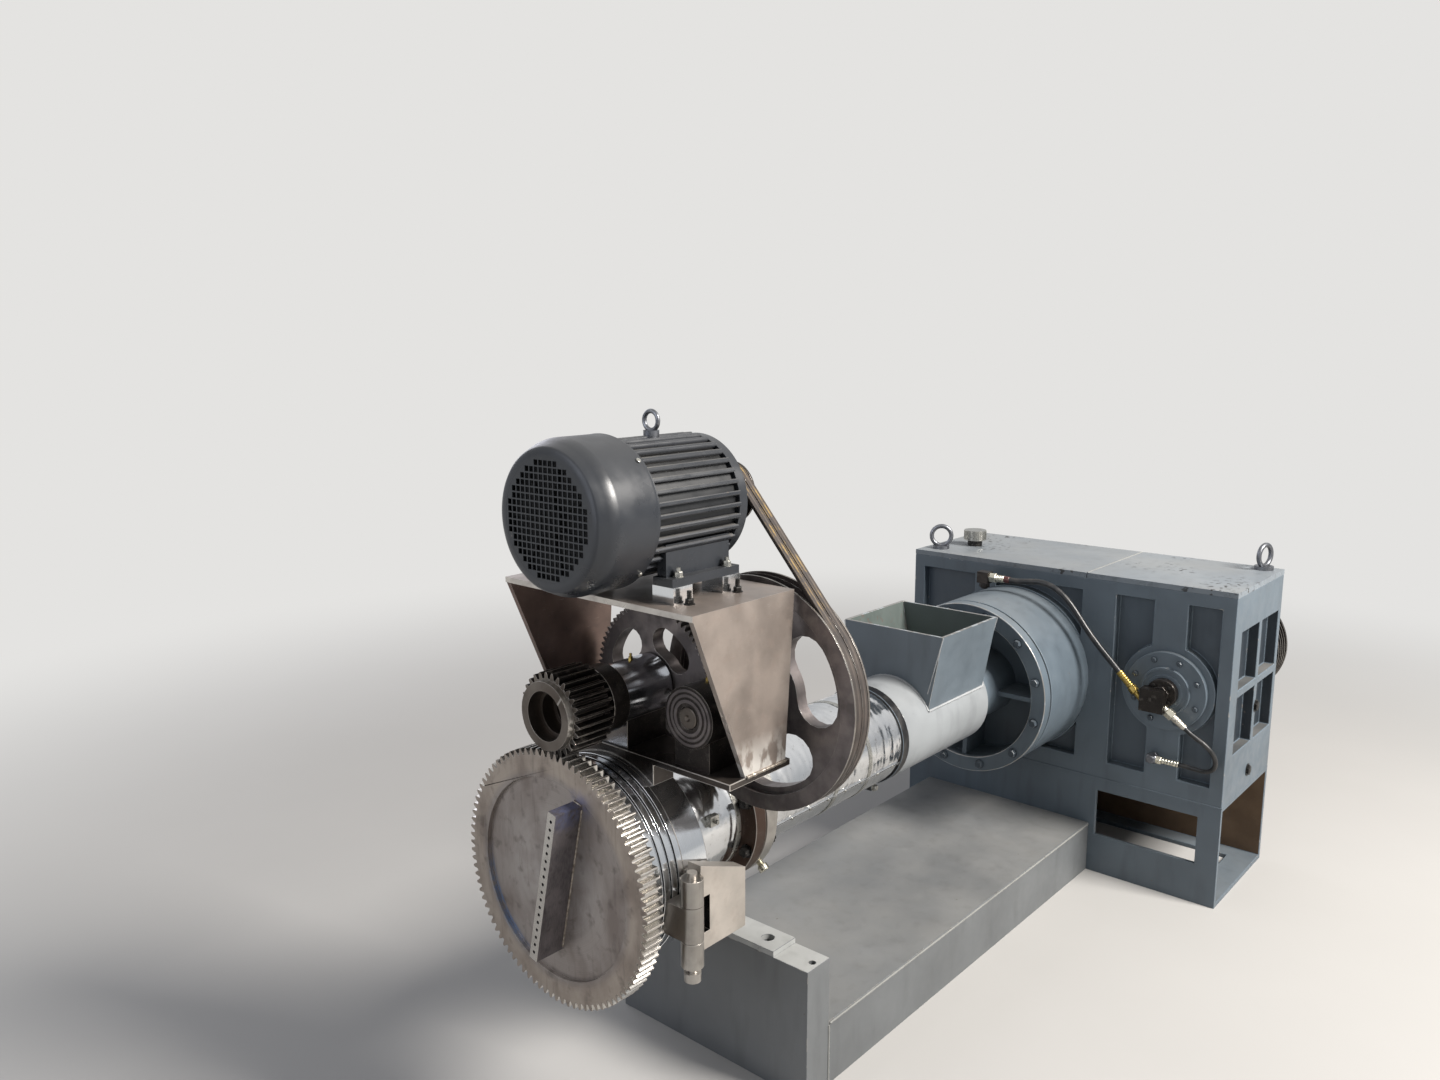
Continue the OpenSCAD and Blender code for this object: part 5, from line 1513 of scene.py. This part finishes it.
def studio():
    """Pale flat floor that fades into the backdrop on all sides."""
    mesh = bpy.data.meshes.new("studio_floor")
    ring = [(16 * math.cos(a), 16 * math.sin(a), 0) for a in (2 * math.pi * k / 96 for k in range(96))]
    mesh.from_pydata(ring, [], [list(range(96))])
    mesh.materials.append(studio_floor())
    floor = bpy.data.objects.new("studio_floor", mesh)
    bpy.context.scene.collection.objects.link(floor)


def lamp(name, place, target, size, power, colour):
    """A soft square lamp that looks at a target, in metres."""
    light = bpy.data.lights.new(name, "AREA")
    light.size = size
    light.energy = power
    light.color = srgb(colour)[:3]
    holder = bpy.data.objects.new(name, light)
    holder.location = place
    holder.rotation_mode = "QUATERNION"
    holder.rotation_quaternion = (Vector(target) - Vector(place)).to_track_quat("-Z", "Y")
    bpy.context.scene.collection.objects.link(holder)


def surround():
    """World light: a plain backdrop for the camera, a pale sky for bright metal to mirror, less elsewhere."""
    world = bpy.data.worlds.new("studio_surround")
    bpy.context.scene.world = world
    world.use_nodes = True
    tree = world.node_tree
    tree.nodes.clear()
    place = add(tree, "ShaderNodeTexCoord").node.outputs["Generated"]
    height = add(tree, "ShaderNodeSeparateXYZ", {"Vector": place}).node.outputs["Z"]
    up = add(tree, "ShaderNodeMapRange", {"Value": height, "From Min": -0.1, "From Max": 0.75})
    sky = add(tree, "ShaderNodeMix", {0: up, 6: srgb("#b9bcc0"), 7: srgb("#ffffff")}, data_type="RGBA")
    rays = add(tree, "ShaderNodeLightPath").node.outputs
    direct = {0: rays["Is Camera Ray"], 1: rays["Is Transmission Ray"]}
    seen = add(tree, "ShaderNodeMath", direct, operation="MAXIMUM")
    strength = add(tree, "ShaderNodeMapRange", {"Value": rays["Is Glossy Ray"], "To Min": 0.26, "To Max": 0.9})
    light = add(tree, "ShaderNodeVectorMath", {0: sky, "Scale": strength}, operation="SCALE")
    colour = add(tree, "ShaderNodeMix", {0: seen, 6: light, 7: srgb(BACKDROP)}, data_type="RGBA")
    backdrop = add(tree, "ShaderNodeBackground", {"Color": colour, "Strength": 1.0})
    add(tree, "ShaderNodeOutputWorld", {"Surface": backdrop})


def camera():
    """Camera at the photograph's place and angle."""
    heading, pitch, roll = (math.radians(v) for v in (41.33, 10.21, -0.19))
    way = Vector((math.cos(heading) * math.cos(pitch), math.sin(heading) * math.cos(pitch), -math.sin(pitch)))
    data = bpy.data.cameras.new("photo_camera")
    data.sensor_width = 36
    data.lens = 28.1
    holder = bpy.data.objects.new("photo_camera", data)
    holder.location = (-2.440, -1.436, 1.480)
    holder.rotation_mode = "QUATERNION"
    holder.rotation_quaternion = way.to_track_quat("-Z", "Y") @ Quaternion((0, 0, 1), roll)
    bpy.context.scene.collection.objects.link(holder)
    bpy.context.scene.camera = holder


camera()
hose("upper_oil_hose", UPPER_HOSE, 8, "upper_hose")
hose("lower_oil_hose", LOWER_HOSE, 6, "lower_hose")
base()
stand()
gearbox()
front_cover()
rear_pulley()
drum_hose_fitting()
cover_union()
valve()
drum()
feed()
barrel()
flanges()
head()
hinge()
gear_plate()
pinions()
bracket()
bearings()
belt_wheel()
pulley()
v_belt("front_v_belt", "belt_front")
v_belt("rear_v_belt", "belt_rear")
motor()
studio()
surround()
lamp("key_lamp", (0.7, -4.0, 4.0), (-0.2, 0, 0.5), 1.7, 560, "#fffaf4")
lamp("fill_lamp", (-4.6, 0.6, 2.2), (-0.4, 0, 0.6), 3.0, 48, "#eaf0ff")
lamp("left_lamp", (0.6, 4.6, 2.8), (-0.1, 0, 0.5), 3.0, 50, "#f4f4ff")
bpy.context.scene.view_settings.view_transform = "Standard"
